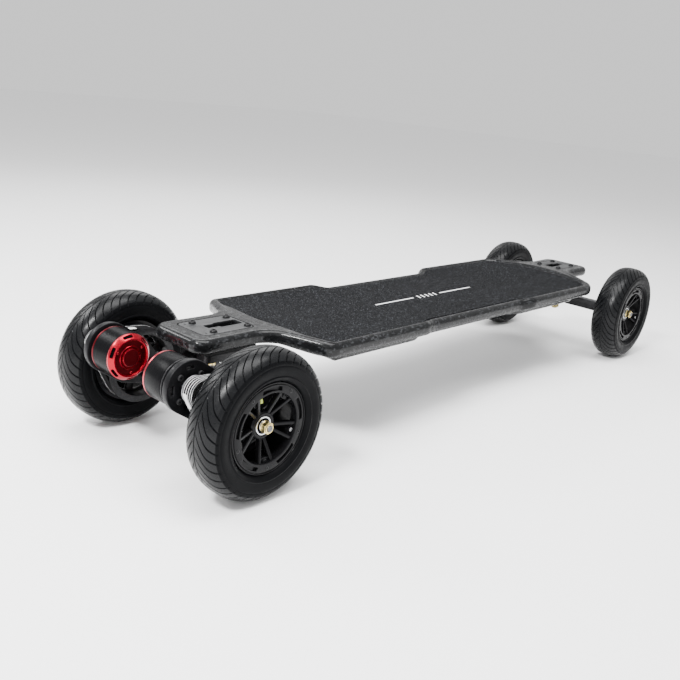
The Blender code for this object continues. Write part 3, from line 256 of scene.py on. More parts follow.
def carbon():
    """Clear-coated carbon: tows of a twill weave, flecks that catch the light, and a painted glint on some
    flecks.
    """
    graph = Graph("carbon_weave")
    fleck, fleck_turn = graph.cells(330.0, graph.stretch((1.0, 1.0, 1.4)))
    tow_a = graph.noise(9.0, 2.0, graph.stretch((14.0, 260.0, 260.0), (0.0, 0.0, 0.785)))
    tow_b = graph.noise(9.0, 2.0, graph.stretch((260.0, 14.0, 260.0), (0.0, 0.0, 0.785)))
    weave = graph.math("GREATER_THAN", fleck_turn, 0.5)
    tows = graph.math("ADD", graph.math("MULTIPLY", tow_a, weave),
                      graph.math("MULTIPLY", tow_b, graph.math("SUBTRACT", 1.0, weave)))
    # Painted glint: some flecks get a lighter colour in place of their highlights.
    painted_glint = graph.ramp(fleck, 0.72, 0.97)
    base = graph.blend(tows, (0.002, 0.0021, 0.0023), (0.008, 0.0083, 0.009))
    base = graph.blend(graph.math("MULTIPLY", painted_glint, 0.22), base, (0.10, 0.104, 0.112))
    graph.set("Base Color", base)
    graph.set("Roughness", graph.ramp(fleck, 0.1, 0.9, 0.42, 0.24))
    graph.set("Specular IOR Level", 0.06)
    relief = graph.math("ADD", graph.math("MULTIPLY", fleck, 0.6), graph.math("MULTIPLY", tows, 0.4))
    graph.set("Normal", graph.bump(relief, 0.24, 0.0005))
    graph.set("Coat Weight", 0.26)
    graph.set("Coat Roughness", 0.08)
    graph.set("Coat Normal", graph.bump(graph.noise(420.0, 3.0), 0.18, 0.0005))
    return graph.material


def grip_grit():
    """Grip tape: charcoal grit with lighter specks of painted sparkle."""
    graph = Graph("grip_grit")
    grain, grain_other = graph.cells(820.0)
    broad = graph.noise(26.0, 4.0)
    # Painted sparkle: a few grains are made lighter in place of their glints.
    painted_sparkle = graph.ramp(grain, 0.90, 0.975)
    base = graph.blend(graph.noise(900.0, 2.0), (0.002, 0.0021, 0.0024), (0.010, 0.0104, 0.0115))
    base = graph.blend(graph.math("MULTIPLY", broad, 0.4), base, (0.006, 0.0063, 0.0072))
    base = graph.blend(graph.math("MULTIPLY", painted_sparkle, 0.55), base, (0.10, 0.105, 0.118))
    graph.set("Base Color", base)
    graph.set("Roughness", graph.ramp(grain_other, 0.0, 1.0, 0.95, 0.62))
    graph.set("Specular IOR Level", 0.05)
    graph.set("Normal", graph.bump(graph.math("ADD", grain, graph.noise(2600.0, 2.0)), 0.8, 0.0007))
    return graph.material


def tyre_rubber():
    """Tyre rubber: soft sheen, moulding texture and a little dust."""
    graph = Graph("tyre_rubber")
    cloud = graph.noise(60.0, 5.0)
    base = graph.blend(cloud, (0.0018, 0.0019, 0.0022), (0.0042, 0.0044, 0.0050))
    dust = graph.ramp(graph.noise(240.0, 6.0), 0.66, 0.78)
    base = graph.blend(graph.math("MULTIPLY", dust, 0.2), base, (0.022, 0.022, 0.024))
    graph.set("Base Color", base)
    graph.set("Roughness", graph.ramp(graph.noise(130.0, 4.0), 0.3, 0.7, 0.30, 0.46))
    relief = graph.math("ADD", graph.noise(1500.0, 2.0), graph.math("MULTIPLY", graph.noise(300.0, 3.0), 0.8))
    graph.set("Normal", graph.bump(relief, 0.22, 0.0005))
    graph.set("Specular IOR Level", 0.035)
    return graph.material


def tread_rubber():
    """The tyres' running surface: the same rubber, polished by its mould."""
    graph = Graph("tread_rubber")
    cloud = graph.noise(70.0, 5.0)
    graph.set("Base Color", graph.blend(cloud, (0.0028, 0.0030, 0.0034), (0.006, 0.0063, 0.0070)))
    graph.set("Roughness", graph.ramp(graph.noise(150.0, 4.0), 0.3, 0.7, 0.22, 0.34))
    relief = graph.math("ADD", graph.noise(1500.0, 2.0), graph.math("MULTIPLY", graph.noise(260.0, 3.0), 0.8))
    graph.set("Normal", graph.bump(relief, 0.16, 0.0005))
    graph.set("Specular IOR Level", 0.15)
    return graph.material


def brushed(name, colour, tint, roughness, metallic, direction, edge_tone=None, specular=0.5):
    """Metal with fine lines along one direction of the object."""
    graph = Graph(name)
    lines = graph.noise(6.0, 4.0, graph.stretch(direction))
    base = graph.blend(lines, colour, tint)
    # Sharp edges take the edge tone: on the red a lighter wear with a painted highlight, on the plate a darker
    # colour.
    if edge_tone is not None:
        base = graph.blend(graph.math("MULTIPLY", graph.edges(), 0.5), base, edge_tone)
    graph.set("Base Color", base)
    graph.set("Metallic", metallic)
    graph.set("Roughness", graph.ramp(lines, 0.25, 0.75, roughness - 0.06, roughness + 0.08))
    graph.set("Normal", graph.bump(lines, 0.10, 0.0003))
    graph.set("Specular IOR Level", specular)
    return graph.material


def zinc_gold():
    """Yellow zinc plating with its faint rainbow blotches."""
    graph = Graph("zinc_gold")
    blotch = graph.noise(380.0, 3.0)
    base = graph.blend(blotch, (0.78, 0.56, 0.20), (0.66, 0.60, 0.30))
    base = graph.blend(graph.ramp(graph.noise(700.0), 0.62, 0.8), base, (0.80, 0.42, 0.30))
    graph.set("Base Color", base)
    graph.set("Metallic", 1.0)
    graph.set("Roughness", graph.ramp(blotch, 0.3, 0.7, 0.22, 0.38))
    graph.set("Normal", graph.bump(graph.noise(1800.0), 0.15, 0.0003))
    return graph.material


def belt_fabric():
    """Belt rubber with the fine ribs of its backing cloth."""
    graph = Graph("belt_rubber")
    ribs = graph.noise(5.0, 2.0, graph.stretch((120.0, 900.0, 120.0)))
    graph.set("Base Color", graph.blend(ribs, (0.003, 0.003, 0.0034), (0.009, 0.009, 0.0098)))
    graph.set("Specular IOR Level", 0.10)
    graph.set("Roughness", graph.ramp(ribs, 0.2, 0.8, 0.75, 0.5))
    graph.set("Normal", graph.bump(ribs, 0.4, 0.0004))
    return graph.material


def make_materials():
    """Every finish, by its name."""
    black = (0.0045, 0.0046, 0.0050)
    grey_black = (0.011, 0.011, 0.012)
    lines_y = (300.0, 4.0, 300.0)
    return {
        "carbon": carbon(),
        "grip": grip_grit(),
        "tyre": tyre_rubber(),
        "tread": tread_rubber(),
        "gold": zinc_gold(),
        "belt": belt_fabric(),
        "plate": brushed("satin_plate", (0.027, 0.0275, 0.029), (0.042, 0.043, 0.045), 0.40, 0.55,
                         (8.0, 240.0, 240.0), edge_tone=(0.012, 0.012, 0.013), specular=0.4),
        # The casting, mount and screw edge tones are lighter: wear with a painted edge highlight.
        "casting": painted("black_casting", black, grey_black, 0.38, 0.10, 160.0, 0.35, 0.08,
                           edge_tone=(0.025, 0.025, 0.027), specular=0.15),
        "hub": painted("hub_casting", (0.004, 0.004, 0.0045), (0.007, 0.007, 0.0078), 0.24, 0.05, 110.0, 0.06,
                       0.10, spread=0.04, specular=0.04),
        "mount": painted("mount_anodised", (0.0035, 0.0035, 0.004), (0.007, 0.007, 0.008), 0.36, 0.2, 200.0,
                         0.15, 0.0, edge_tone=(0.07, 0.07, 0.073), specular=0.12),
        "screw": painted("black_oxide", black, (0.010, 0.010, 0.011), 0.34, 0.0, 500.0, 0.2, 0.0,
                         edge_tone=(0.03, 0.03, 0.031), specular=0.12),
        # The red's pale pink edge tone is wear with a painted highlight.
        "red": brushed("red_anodised", (0.26, 0.0015, 0.010), (0.38, 0.004, 0.020), 0.24, 0.85, lines_y,
                       edge_tone=(0.70, 0.08, 0.11)),
        # A dead-black finish for painted shade: it fills the end cap's slots.
        "recess": painted("painted_shade_black", (0.0008, 0.0008, 0.0009), (0.002, 0.002, 0.0022), 0.95, 0.0,
                          200.0, 0.1, specular=0.0),
        "crimson": brushed("crimson_anodised", (0.085, 0.0006, 0.003), (0.13, 0.0015, 0.007), 0.30, 0.85,
                           (6.0, 6.0, 6.0)),
        "can": brushed("motor_black", (0.0018, 0.0018, 0.0021), (0.004, 0.004, 0.0046), 0.26, 0.0,
                       (14.0, 700.0, 14.0), specular=0.03),
        "steel": brushed("ground_steel", (0.50, 0.50, 0.51), (0.66, 0.66, 0.66), 0.25, 1.0, lines_y),
        "copper": brushed("winding_copper", (0.55, 0.22, 0.10), (0.70, 0.32, 0.16), 0.35, 1.0, lines_y),
        "seal": painted("bearing_seal", (0.16, 0.16, 0.17), (0.24, 0.24, 0.25), 0.35, 0.8, 300.0, 0.1),
        "riser": painted("riser_rubber", (0.006, 0.006, 0.0065), (0.014, 0.014, 0.015), 0.75, 0.0, 150.0, 0.5,
                         specular=0.2),
        "axle": brushed("axle_dark_steel", (0.09, 0.09, 0.095), (0.15, 0.15, 0.155), 0.32, 1.0, lines_y),
        "bushing": painted("urethane", (0.030, 0.030, 0.034), (0.055, 0.055, 0.060), 0.42, 0.0, 90.0,
                           0.12, 0.2),
        "lid": painted("lid_paint", (0.012, 0.012, 0.013), (0.022, 0.022, 0.024), 0.45, 0.5, 60.0, 0.35),
        "plastic": painted("satin_plastic", (0.015, 0.015, 0.016), (0.028, 0.028, 0.030), 0.45, 0.0,
                           140.0, 0.3),
        "print": painted("white_print", (0.80, 0.80, 0.80), (0.62, 0.62, 0.63), 0.6, 0.0, 700.0, 0.5),
        "label": painted("paper_label", (0.78, 0.78, 0.77), (0.66, 0.66, 0.66), 0.55, 0.0, 300.0, 0.2),
        "wrap": painted("battery_wrap", (0.02, 0.09, 0.30), (0.03, 0.12, 0.38), 0.35, 0.0, 45.0, 0.25, 0.3),
        "valve": painted("valve_cap", (0.42, 0.55, 0.06), (0.55, 0.62, 0.12), 0.4, 0.0, 300.0, 0.15),
        "contact": brushed("contact_brass", (0.75, 0.58, 0.25), (0.85, 0.68, 0.35), 0.25, 1.0, lines_y),
    }


# ---------------------------------------------------------------- mesh tools

def mix(first, second, part):
    """Blend two numbers."""
    return first + (second - first) * part


def smooth_step(value, low, high):
    """0 below low, 1 above high, with a smooth ramp between."""
    part = min(1.0, max(0.0, (value - low) / (high - low)))
    return part * part * (3.0 - 2.0 * part)


def mm(points, start=0.0):
    """Points in millimetres made metres, the second number counted from a start in metres."""
    return [(first * MM, start + second * MM) for first, second in points]


def steps(low, high, spacing):
    """Evenly spaced numbers from low to high, about that far apart."""
    count = max(1, round(abs(high - low) / spacing))
    return [mix(low, high, index / count) for index in range(count + 1)]


def tidy(mesh, angle):
    """Merge doubles, point the faces out, and shade round faces smooth."""
    work = bmesh.new()
    work.from_mesh(mesh)
    bmesh.ops.remove_doubles(work, verts=work.verts, dist=2e-6)
    bmesh.ops.recalc_face_normals(work, faces=work.faces)
    work.to_mesh(mesh)
    work.free()
    mesh.shade_smooth()
    mesh.set_sharp_from_angle(angle=math.radians(angle))


def add_mesh(name, verts, faces, finish, angle=32.0):
    """An object from points and faces."""
    mesh = bpy.data.meshes.new(name)
    mesh.from_pydata([tuple(point) for point in verts], [], faces)
    tidy(mesh, angle)
    item = bpy.data.objects.new(name, mesh)
    item.data.materials.append(FINISH[finish])
    bpy.context.scene.collection.objects.link(item)
    return item


def apply_modifiers(item, angle=32.0):
    """Keep the modified mesh and drop the modifiers."""
    graph = bpy.context.evaluated_depsgraph_get()
    result = bpy.data.meshes.new_from_object(item.evaluated_get(graph))
    item.modifiers.clear()
    result.name = item.name
    item.data = result
    result.shade_smooth()
    result.set_sharp_from_angle(angle=math.radians(angle))
    return item


def combine(item, tool, operation):
    """An exact Boolean with another object, which is then removed."""
    modifier = item.modifiers.new("Combine", "BOOLEAN")
    modifier.operation = operation
    modifier.solver = "EXACT"
    modifier.object = tool
    apply_modifiers(item)
    bpy.data.objects.remove(tool, do_unlink=True)
    return item


def cut(item, *tools):
    """Cut each of the tools out of an object."""
    for tool in tools:
        combine(item, tool, "DIFFERENCE")
    return item


def merge(items, name):
    """Make one object of several that do not need a clean union."""
    first = items[0]
    work = bmesh.new()
    finishes = []
    for item in items:
        piece = item.data.copy()
        piece.transform(item.matrix_world)
        names = list(item.data.materials)
        start = len(work.faces)
        work.from_mesh(piece)
        work.faces.ensure_lookup_table()
        for face in work.faces[start:]:
            own = names[face.material_index]
            if own not in finishes:
                finishes.append(own)
            face.material_index = finishes.index(own)
        bpy.data.meshes.remove(piece)
    mesh = bpy.data.meshes.new(name)
    work.to_mesh(mesh)
    work.free()
    for item in items[1:]:
        bpy.data.objects.remove(item, do_unlink=True)
    first.data = mesh
    first.matrix_world = Matrix.Identity(4)
    for own in finishes:
        mesh.materials.append(own)
    mesh.shade_smooth()
    mesh.set_sharp_from_angle(angle=math.radians(32.0))
    first.name = name
    return first


def round_edges(item, width, segments, angle=35.0):
    """Soften the sharp edges of an object."""
    modifier = item.modifiers.new("Edges", "BEVEL")
    modifier.width = width
    modifier.segments = segments
    modifier.limit_method = "ANGLE"
    modifier.angle_limit = math.radians(angle)
    return apply_modifiers(item, 50.0)


def turned(name, profile, finish, centre, axis, segments, ring=False):
    """Turn (radius, distance along the axis) points about an axis.

    An open profile starts and ends on the axis. A ring's profile is a closed loop.
    """
    axis = axis.normalized()
    side = axis.cross(X_AXIS if abs(axis.x) < 0.9 else Z_AXIS).normalized()
    across = axis.cross(side)
    verts = []
    rows = []
    for radius, along in profile:
        middle = centre + axis * along
        if radius < 1e-9:
            rows.append([len(verts)])
            verts.append(middle)
            continue
        rows.append(list(range(len(verts), len(verts) + segments)))
        for step in range(segments):
            turn = math.tau * step / segments
            verts.append(middle + (side * math.cos(turn) + across * math.sin(turn)) * radius)
    pairs = list(zip(rows, rows[1:]))
    if ring:
        pairs.append((rows[-1], rows[0]))
    faces = []
    for first, second in pairs:
        for step in range(segments):
            after = (step + 1) % segments
            corners = [first[step % len(first)], first[after % len(first)],
                       second[after % len(second)], second[step % len(second)]]
            face = list(dict.fromkeys(corners))
            if len(face) > 2:
                faces.append(face)
    return add_mesh(name, verts, faces, finish)


def prism(name, loops, start, end, finish, origin=Vector(), u=X_AXIS, v=Y_AXIS):
    """Extrude a flat outline, the first loop, with holes, the other loops."""
    normal = u.cross(v)
    work = bmesh.new()
    for loop in loops:
        points = [work.verts.new((a, b, 0.0)) for a, b in loop]
        for first, second in zip(points, points[1:] + points[:1]):
            work.edges.new((first, second))
    bmesh.ops.triangle_fill(work, use_beauty=True, use_dissolve=False, edges=work.edges[:])
    work.verts.index_update()
    flat = [(vert.co.x, vert.co.y) for vert in work.verts]
    caps = [[vert.index for vert in face.verts] for face in work.faces]
    work.free()
    count = len(flat)
    verts = [origin + u * a + v * b + normal * start for a, b in flat]
    verts += [origin + u * a + v * b + normal * end for a, b in flat]
    faces = caps + [[index + count for index in face] for face in caps]
    first = 0
    for loop in loops:
        size = len(loop)
        for step in range(size):
            here = first + step
            after = first + (step + 1) % size
            faces.append([here, after, after + count, here + count])
        first += size
    return add_mesh(name, verts, faces, finish)


def arc(centre, radius, start, end, count):
    """Points on an arc, both ends included."""
    points = []
    for step in range(count + 1):
        turn = mix(start, end, step / count)
        points.append((centre[0] + radius * math.cos(turn), centre[1] + radius * math.sin(turn)))
    return points


def circle(centre, radius, segments):
    """Points round a circle."""
    return arc(centre, radius, 0.0, math.tau, segments)[:-1]


def rounded_rectangle(low, high, corner, count=6):
    """Outline of a rectangle with round corners."""
    (x0, y0), (x1, y1) = low, high
    centres = [(x1 - corner, y0 + corner), (x1 - corner, y1 - corner),
               (x0 + corner, y1 - corner), (x0 + corner, y0 + corner)]
    outline = []
    for index, centre in enumerate(centres):
        outline += arc(centre, corner, QUARTER * (index - 1), QUARTER * index, count)
    return outline


def rounded_outline(corners, radius, count):
    """A polygon with its corners rounded."""
    outline = []
    size = len(corners)
    for index in range(size):
        here = Vector(corners[index])
        before = Vector(corners[index - 1]) - here
        after = Vector(corners[(index + 1) % size]) - here
        trim = min(radius, before.length * 0.45, after.length * 0.45)
        first = here + before.normalized() * trim
        last = here + after.normalized() * trim
        for step in range(count + 1):
            part = step / count
            point = first * (1.0 - part) ** 2 + here * 2.0 * part * (1.0 - part) + last * part ** 2
            outline.append((point.x, point.y))
    return outline


def place(item, body, slot, *nodes):
    """Put a piece on its body, in the place of CAD nodes, which are hidden. The slot is not used."""
    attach(item, body)
    if nodes:
        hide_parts(*nodes)
    return item


def middle_of(node):
    """The middle of a CAD node's box."""
    low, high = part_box(node)
    return (low + high) / 2.0


FINISH = make_materials()


# ---------------------------------------------------------------- deck

deck_low, deck_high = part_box("deck_shell")
REAR_END = deck_low.x
FRONT_END = deck_high.x
WIDE_HALF = deck_high.y
NECK_TOP = deck_high.z
BELLY_BOTTOM = deck_low.z
WAIST_HALF = 108.5 * MM
NECK_HALF = 45.5 * MM
NECK_END_HALF = 46.6 * MM
WAIST_CENTRE = -6.0 * MM
WAIST_START = 118.0 * MM
WAIST_END = 152.0 * MM
FLARE_X = 375.0 * MM
FLARE_Y = 86.0 * MM
FLARE_ANGLE = math.radians(62.0)
SHOULDER_RADIUS = 24.0 * MM
NECK_FILLET = 38.0 * MM
END_CORNER = 18.0 * MM
NECK_UNDER = NECK_TOP - 17.5 * MM
HOLLOW_HALF_LENGTH = 304.0 * MM
HOLLOW_HALF_WIDTH = 76.0 * MM
HOLLOW_TOP = 143.6 * MM
WIDE_TOP = 155.3 * MM
WIDE_UNDER = 135.5 * MM
WAIST_TOP = 150.5 * MM
WAIST_UNDER = 130.7 * MM
CENTRE_TOP = 146.7 * MM
DISH_END_TOP = 155.3 * MM
RAMP_START = 220.0 * MM
RAMP_END = 372.0 * MM
STEP_START = 366.0 * MM
STEP_END = 378.0 * MM
RAIL_RAMP_START = 340.0 * MM
RAIL_RAMP_END = 395.0 * MM
UNDER_RAMP_START = 352.0 * MM
UNDER_RAMP_END = 392.0 * MM
LIP_DEPTH_WIDE = 3.6 * MM
LIP_DEPTH_WAIST = 2.0 * MM
RAIL_ROUNDING = 0.40
LIP_WIDTH = 5.5 * MM
BELLY_END = 326.0 * MM
GRIP_END = 366.0 * MM
GRIP_END_BOW = 13.0 * MM
GRIP_INSET = 1.0 * MM
GRIP_LIFT = 0.9 * MM


def width_part(x):
    """0 in the waist and 1 in the wide parts of the deck."""
    return smooth_step(abs(x - WAIST_CENTRE), WAIST_START, WAIST_END)


def neck_part(x):
    """0 on the platform and 1 on the necks."""
    return smooth_step(abs(x), RAIL_RAMP_START, RAIL_RAMP_END)


def rail_top(x):
    """Height of the top of the rail."""
    return mix(mix(WAIST_TOP, WIDE_TOP, width_part(x)), NECK_TOP, neck_part(x))


def rail_under(x):
    """Height of the underside of the rail."""
    rise = smooth_step(abs(x), UNDER_RAMP_START, UNDER_RAMP_END)
    return mix(mix(WAIST_UNDER, WIDE_UNDER, width_part(x)), NECK_UNDER, rise)


def foot_height(x, part):
    """Height of the standing surface; part is 0 on the middle line and 1 at the rail."""
    centre = mix(CENTRE_TOP, DISH_END_TOP, smooth_step(abs(x), RAMP_START, RAMP_END))
    lip = mix(mix(LIP_DEPTH_WAIST, LIP_DEPTH_WIDE, width_part(x)), 0.0, neck_part(x))
    reach = min(1.0, abs(part))
    dish = mix(centre, rail_top(x) - lip, reach ** 3)
    neck = mix(NECK_TOP, rail_top(x), reach ** 3)
    return mix(dish, neck, smooth_step(abs(x) + GRIP_END_BOW * reach * reach, STEP_START, STEP_END))


def end_stations(end_x):
    """Edge points (x, half width, outward normal) from the middle to one end."""
    sign = 1.0 if end_x > 0.0 else -1.0
    slope = math.tan(FLARE_ANGLE)
    half_turn = math.tan(FLARE_ANGLE / 2.0)
    shoulder_x = FLARE_X - (WIDE_HALF - FLARE_Y) / slope
    fillet_x = FLARE_X + (FLARE_Y - NECK_HALF) / slope
    shoulder_start = shoulder_x - SHOULDER_RADIUS * half_turn
    fillet_end = fillet_x + NECK_FILLET * half_turn
    plain = steps(18.0 * MM, 108.0 * MM, 18.0 * MM) + steps(112.0 * MM, 160.0 * MM, 3.0 * MM)
    plain += steps(172.0 * MM, BELLY_END - 4.0 * MM, 11.0 * MM)
    stations = [(x, mix(WAIST_HALF, WIDE_HALF, width_part(sign * x)), (0.0, 1.0)) for x in plain]
    for part in steps(0.0, 1.0, 0.1):
        turn = QUARTER - FLARE_ANGLE * part
        normal = (math.cos(turn), math.sin(turn))
        stations.append((shoulder_start + SHOULDER_RADIUS * normal[0],
                         WIDE_HALF - SHOULDER_RADIUS * (1.0 - normal[1]), normal))
    last = stations[-1]
    turn = FLARE_ANGLE
    first = (fillet_end - NECK_FILLET * math.sin(turn), NECK_HALF + NECK_FILLET * (1.0 - math.cos(turn)))
    for part in steps(0.08, 0.92, 0.084):
        stations.append((mix(last[0], first[0], part), mix(last[1], first[1], part), last[2]))
    for part in steps(0.0, 1.0, 0.1):
        turn = FLARE_ANGLE * (1.0 - part)
        normal = (math.sin(turn), math.cos(turn))
        stations.append((fillet_end - NECK_FILLET * normal[0],
                         NECK_HALF + NECK_FILLET * (1.0 - normal[1]), normal))
    straight = steps(fillet_end + 8.0 * MM, abs(end_x) - END_CORNER - 4.0 * MM, 10.0 * MM)
    stations += [(x, mix(NECK_HALF, NECK_END_HALF, smooth_step(x, straight[0], straight[-1])), (0.0, 1.0))
                 for x in straight]
    for part in steps(0.0, 1.0, 0.125):
        turn = QUARTER * (1.0 - part)
        normal = (math.cos(turn), math.sin(turn))
        stations.append((abs(end_x) - END_CORNER * (1.0 - normal[0]),
                         NECK_END_HALF - END_CORNER * (1.0 - normal[1]), normal))
    return stations


def deck_stations():
    """All edge points of the right side, rear to front, with signed x."""
    rear = [(-x, half, (-normal[0], normal[1])) for x, half, normal in end_stations(REAR_END)]
    return rear[::-1] + [(0.0, WAIST_HALF, (0.0, 1.0))] + end_stations(FRONT_END)


def edge_rows(stations):
    """Loops of points round the deck's edge, from the standing surface to the belly."""
    shape = [("lip", part) for part in (0.0, 0.25, 0.5, 0.75)]
    shape += [("upper", part) for part in steps(1.0, 0.0, 0.143)]
    shape += [("lower", part) for part in steps(0.0, 1.0, 0.143)]
    rows = []
    for kind, part in shape:
        row = []
        for x, half, normal in stations:
            rounding = RAIL_ROUNDING * (rail_top(x) - rail_under(x))
            inset = rounding * (1.0 - math.cos(part * QUARTER))
            if kind == "lip":
                inset = rounding + LIP_WIDTH * (1.0 - part)
            point_x = x - normal[0] * inset
            point_y = half - normal[1] * inset
            if kind == "lip":
                height = mix(foot_height(point_x, 1.0), rail_top(x), smooth_step(part, 0.0, 1.0))
            elif kind == "upper":
                height = rail_top(x) - rounding * (1.0 - math.sin(part * QUARTER))
            else:
                height = rail_under(x) + rounding * (1.0 - math.sin(part * QUARTER))
            row.append((point_x, point_y, height))
        rows.append(row)
    return rows


def belly_height(x, part):
    """Height of the underside; part runs from 0 on the middle line to 1 at the rail."""
    reach = min(smooth_step(BELLY_END + 12.0 * MM - abs(x), 0.0, 12.0 * MM),
                smooth_step(0.925 - abs(part), 0.0, 0.085))
    return mix(rail_under(x), BELLY_BOTTOM, reach)


COLUMNS = [0.12, 0.24, 0.36, 0.48, 0.58, 0.67, 0.75, 0.80, 0.84, 0.855, 0.87, 0.885, 0.90, 0.925, 0.96]
ACROSS = [-part for part in COLUMNS[::-1]] + [0.0] + COLUMNS


def deck_surface():
    """The closed skin of the deck, before anything is cut into it."""
    stations = deck_stations()
    rows = edge_rows(stations)
    count = len(stations)
    verts = []

    def whole_ring(row, height_at):
        """The row on the right, across the front, back on the left and across the rear."""
        right = [(x, -y, z) for x, y, z in row]
        left = [(x, y, z) for x, y, z in row]
        front = [(row[-1][0], row[-1][1] * part, height_at(row[-1], part)) for part in ACROSS]
        rear = [(row[0][0], row[0][1] * part, height_at(row[0], part)) for part in ACROSS]
        start = len(verts)
        verts.extend(right + front + left[::-1] + rear[::-1])
        return list(range(start, len(verts)))

    rings = [whole_ring(rows[0], lambda end, part: foot_height(end[0], part))]
    rings += [whole_ring(row, lambda end, part: end[2]) for row in rows[1:]]
    faces = []
    size = len(rings[0])
    for upper, lower in zip(rings, rings[1:]):
        for step in range(size):
            after = (step + 1) % size
            faces.append([upper[step], upper[after], lower[after], lower[step]])
    width = len(ACROSS)
    for ring, row, height_at in ((rings[0], rows[0], foot_height), (rings[-1], rows[-1], belly_height)):
        left = ring[count + width:2 * count + width][::-1]
        grid = []
        for station in range(count):
            if station == 0:
                inner = ring[2 * count + width:][::-1]
            elif station == count - 1:
                inner = ring[count:count + width]
            else:
                x, y, _ = row[station]
                inner = list(range(len(verts), len(verts) + width))
                verts.extend((x, y * part, height_at(x, part)) for part in ACROSS)
            grid.append([ring[station]] + list(inner) + [left[station]])
        for first, second in zip(grid, grid[1:]):
            for step in range(len(first) - 1):
                faces.append([first[step], second[step], second[step + 1], first[step + 1]])
    return add_mesh("deck", verts, faces, "carbon", 40.0)


plate_low, plate_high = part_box("mount_plate_front")
BOLT_HOLE = 2.9 * MM
PLATE_INNER = plate_low.x
PLATE_OUTER = plate_high.x
PLATE_HALF = plate_high.y
PLATE_CORNER = 8.0 * MM
SLOT_OUTER = 457.0 * MM
SLOT_STEP = 440.0 * MM
SLOT_INNER = 405.0 * MM
SLOT_NARROW = 5.5 * MM
SLOT_WIDE = 8.5 * MM
OVAL_X = 473.0 * MM
OVAL_Y = 20.3 * MM


def bolt_centres(end):
    """The four bolts of a truck, by the CAD's own bolts."""
    return [middle_of("deck_bolt_%s_%d" % (end, index)).xy for index in (1, 2, 3, 4)]


def plate_outline(sign, grow):
    """Outline of the plate let into a neck."""
    low = (PLATE_INNER - grow, -PLATE_HALF - grow)
    high = (PLATE_OUTER + grow, PLATE_HALF + grow)
    return [(sign * x, sign * y) for x, y in rounded_rectangle(low, high, PLATE_CORNER + grow)]


def slot_outline(sign, grow=0.0):
    """Outline of the stepped slot: narrow outboard, wide inboard."""
    corners = [(SLOT_OUTER + grow, -SLOT_NARROW - grow), (SLOT_OUTER + grow, SLOT_NARROW + grow),
               (SLOT_STEP + grow, SLOT_NARROW + grow), (SLOT_STEP + grow, SLOT_WIDE + grow),
               (SLOT_INNER - grow, SLOT_WIDE + grow), (SLOT_INNER - grow, -SLOT_WIDE - grow),
               (SLOT_STEP + grow, -SLOT_WIDE - grow), (SLOT_STEP + grow, -SLOT_NARROW - grow)]
    return [(sign * x, sign * y) for x, y in rounded_outline(corners, 2.2 * MM, 3)]


def make_deck():
    """The deck with its recesses, slots, bolt holes and the hollow belly."""
    deck = deck_surface()
    lid_low, lid_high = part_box("belly_cover")
    edge = 0.3 * MM
    pocket = rounded_rectangle((lid_low.x - edge, lid_low.y - edge), (lid_high.x + edge, lid_high.y + edge),
                               8.0 * MM)
    hollow = rounded_rectangle((-HOLLOW_HALF_LENGTH, -HOLLOW_HALF_WIDTH),
                               (HOLLOW_HALF_LENGTH, HOLLOW_HALF_WIDTH), 6.0 * MM)
    cutters = [prism("pocket", [pocket], BELLY_BOTTOM - 1.0 * MM, lid_high.z + edge, "carbon"),
               prism("hollow", [hollow], lid_high.z - 1.0 * MM, HOLLOW_TOP, "carbon")]
    for end, sign in ENDS:
        cutters.append(prism("recess", [plate_outline(sign, 0.9 * MM)], NECK_TOP - 3.0 * MM,
                             NECK_TOP + 1.0 * MM, "carbon"))
        cutters.append(prism("slot", [slot_outline(sign)], NECK_TOP - 9.0 * MM, NECK_TOP + 1.0 * MM,
                             "carbon"))
        for centre in bolt_centres(end):
            cutters.append(prism("hole", [circle(centre, BOLT_HOLE, 20)], NECK_UNDER - 2.0 * MM,
                                 NECK_TOP + 1.0 * MM, "carbon"))
    cut(deck, *cutters)
    deck.data.set_sharp_from_angle(angle=math.radians(40.0))
    place(deck, "deck", "carbon_shell", "deck_shell")


def inner_half(x, edge):
    """Half width of the dished surface, from the points of its edge."""
    for first, second in zip(edge, edge[1:]):
        if first[0] <= x <= second[0]:
            return mix(first[1], second[1], (x - first[0]) / (second[0] - first[0]))
    return edge[0][1]


GRIP_THICKNESS = 0.85 * MM
PRINT_THICKNESS = 0.10 * MM
PRINT_LIFT = GRIP_LIFT + 0.02 * MM
PRINT_HALF_WIDTH = 1.5 * MM
PRINTED_LINES = (("line_rear", -130.3 * MM, -36.2 * MM), ("line_front", 35.8 * MM, 126.0 * MM))
MARK_BARS = 5
MARK_PITCH = 11.0 * MM
MARK_WIDTH = 3.2 * MM
MARK_LEAN = 2.2 * MM
MARK_HALF_LENGTH = 6.0 * MM


def surface_sheet(name, rows, columns, thickness, lift, finish, half_at, shift_at):
    """A thin sheet that follows the standing surface."""
    edge = edge_rows(deck_stations())[0]
    verts = []
    for top in (0.0, 1.0):
        for row in rows:
            for part in columns:
                x = shift_at(row, part)
                inner = inner_half(x, edge)
                y = half_at(x, inner) * part
                height = foot_height(x, y / inner) + lift + thickness * top
                verts.append((x, y, height))
    faces = []
    width = len(columns)
    layer = width * len(rows)
    for row in range(len(rows) - 1):
        for column in range(width - 1):
            corner = row * width + column
            quad = [corner, corner + width, corner + width + 1, corner + 1]
            faces.append(quad)
            faces.append([index + layer for index in quad])
    rim = list(range(width))
    rim += [row * width + width - 1 for row in range(1, len(rows))]
    rim += [(len(rows) - 1) * width + column for column in range(width - 2, -1, -1)]
    rim += [row * width for row in range(len(rows) - 2, 0, -1)]
    for here, after in zip(rim, rim[1:] + rim[:1]):
        faces.append([here, after, after + layer, here + layer])
    return add_mesh(name, verts, faces, finish, 50.0)


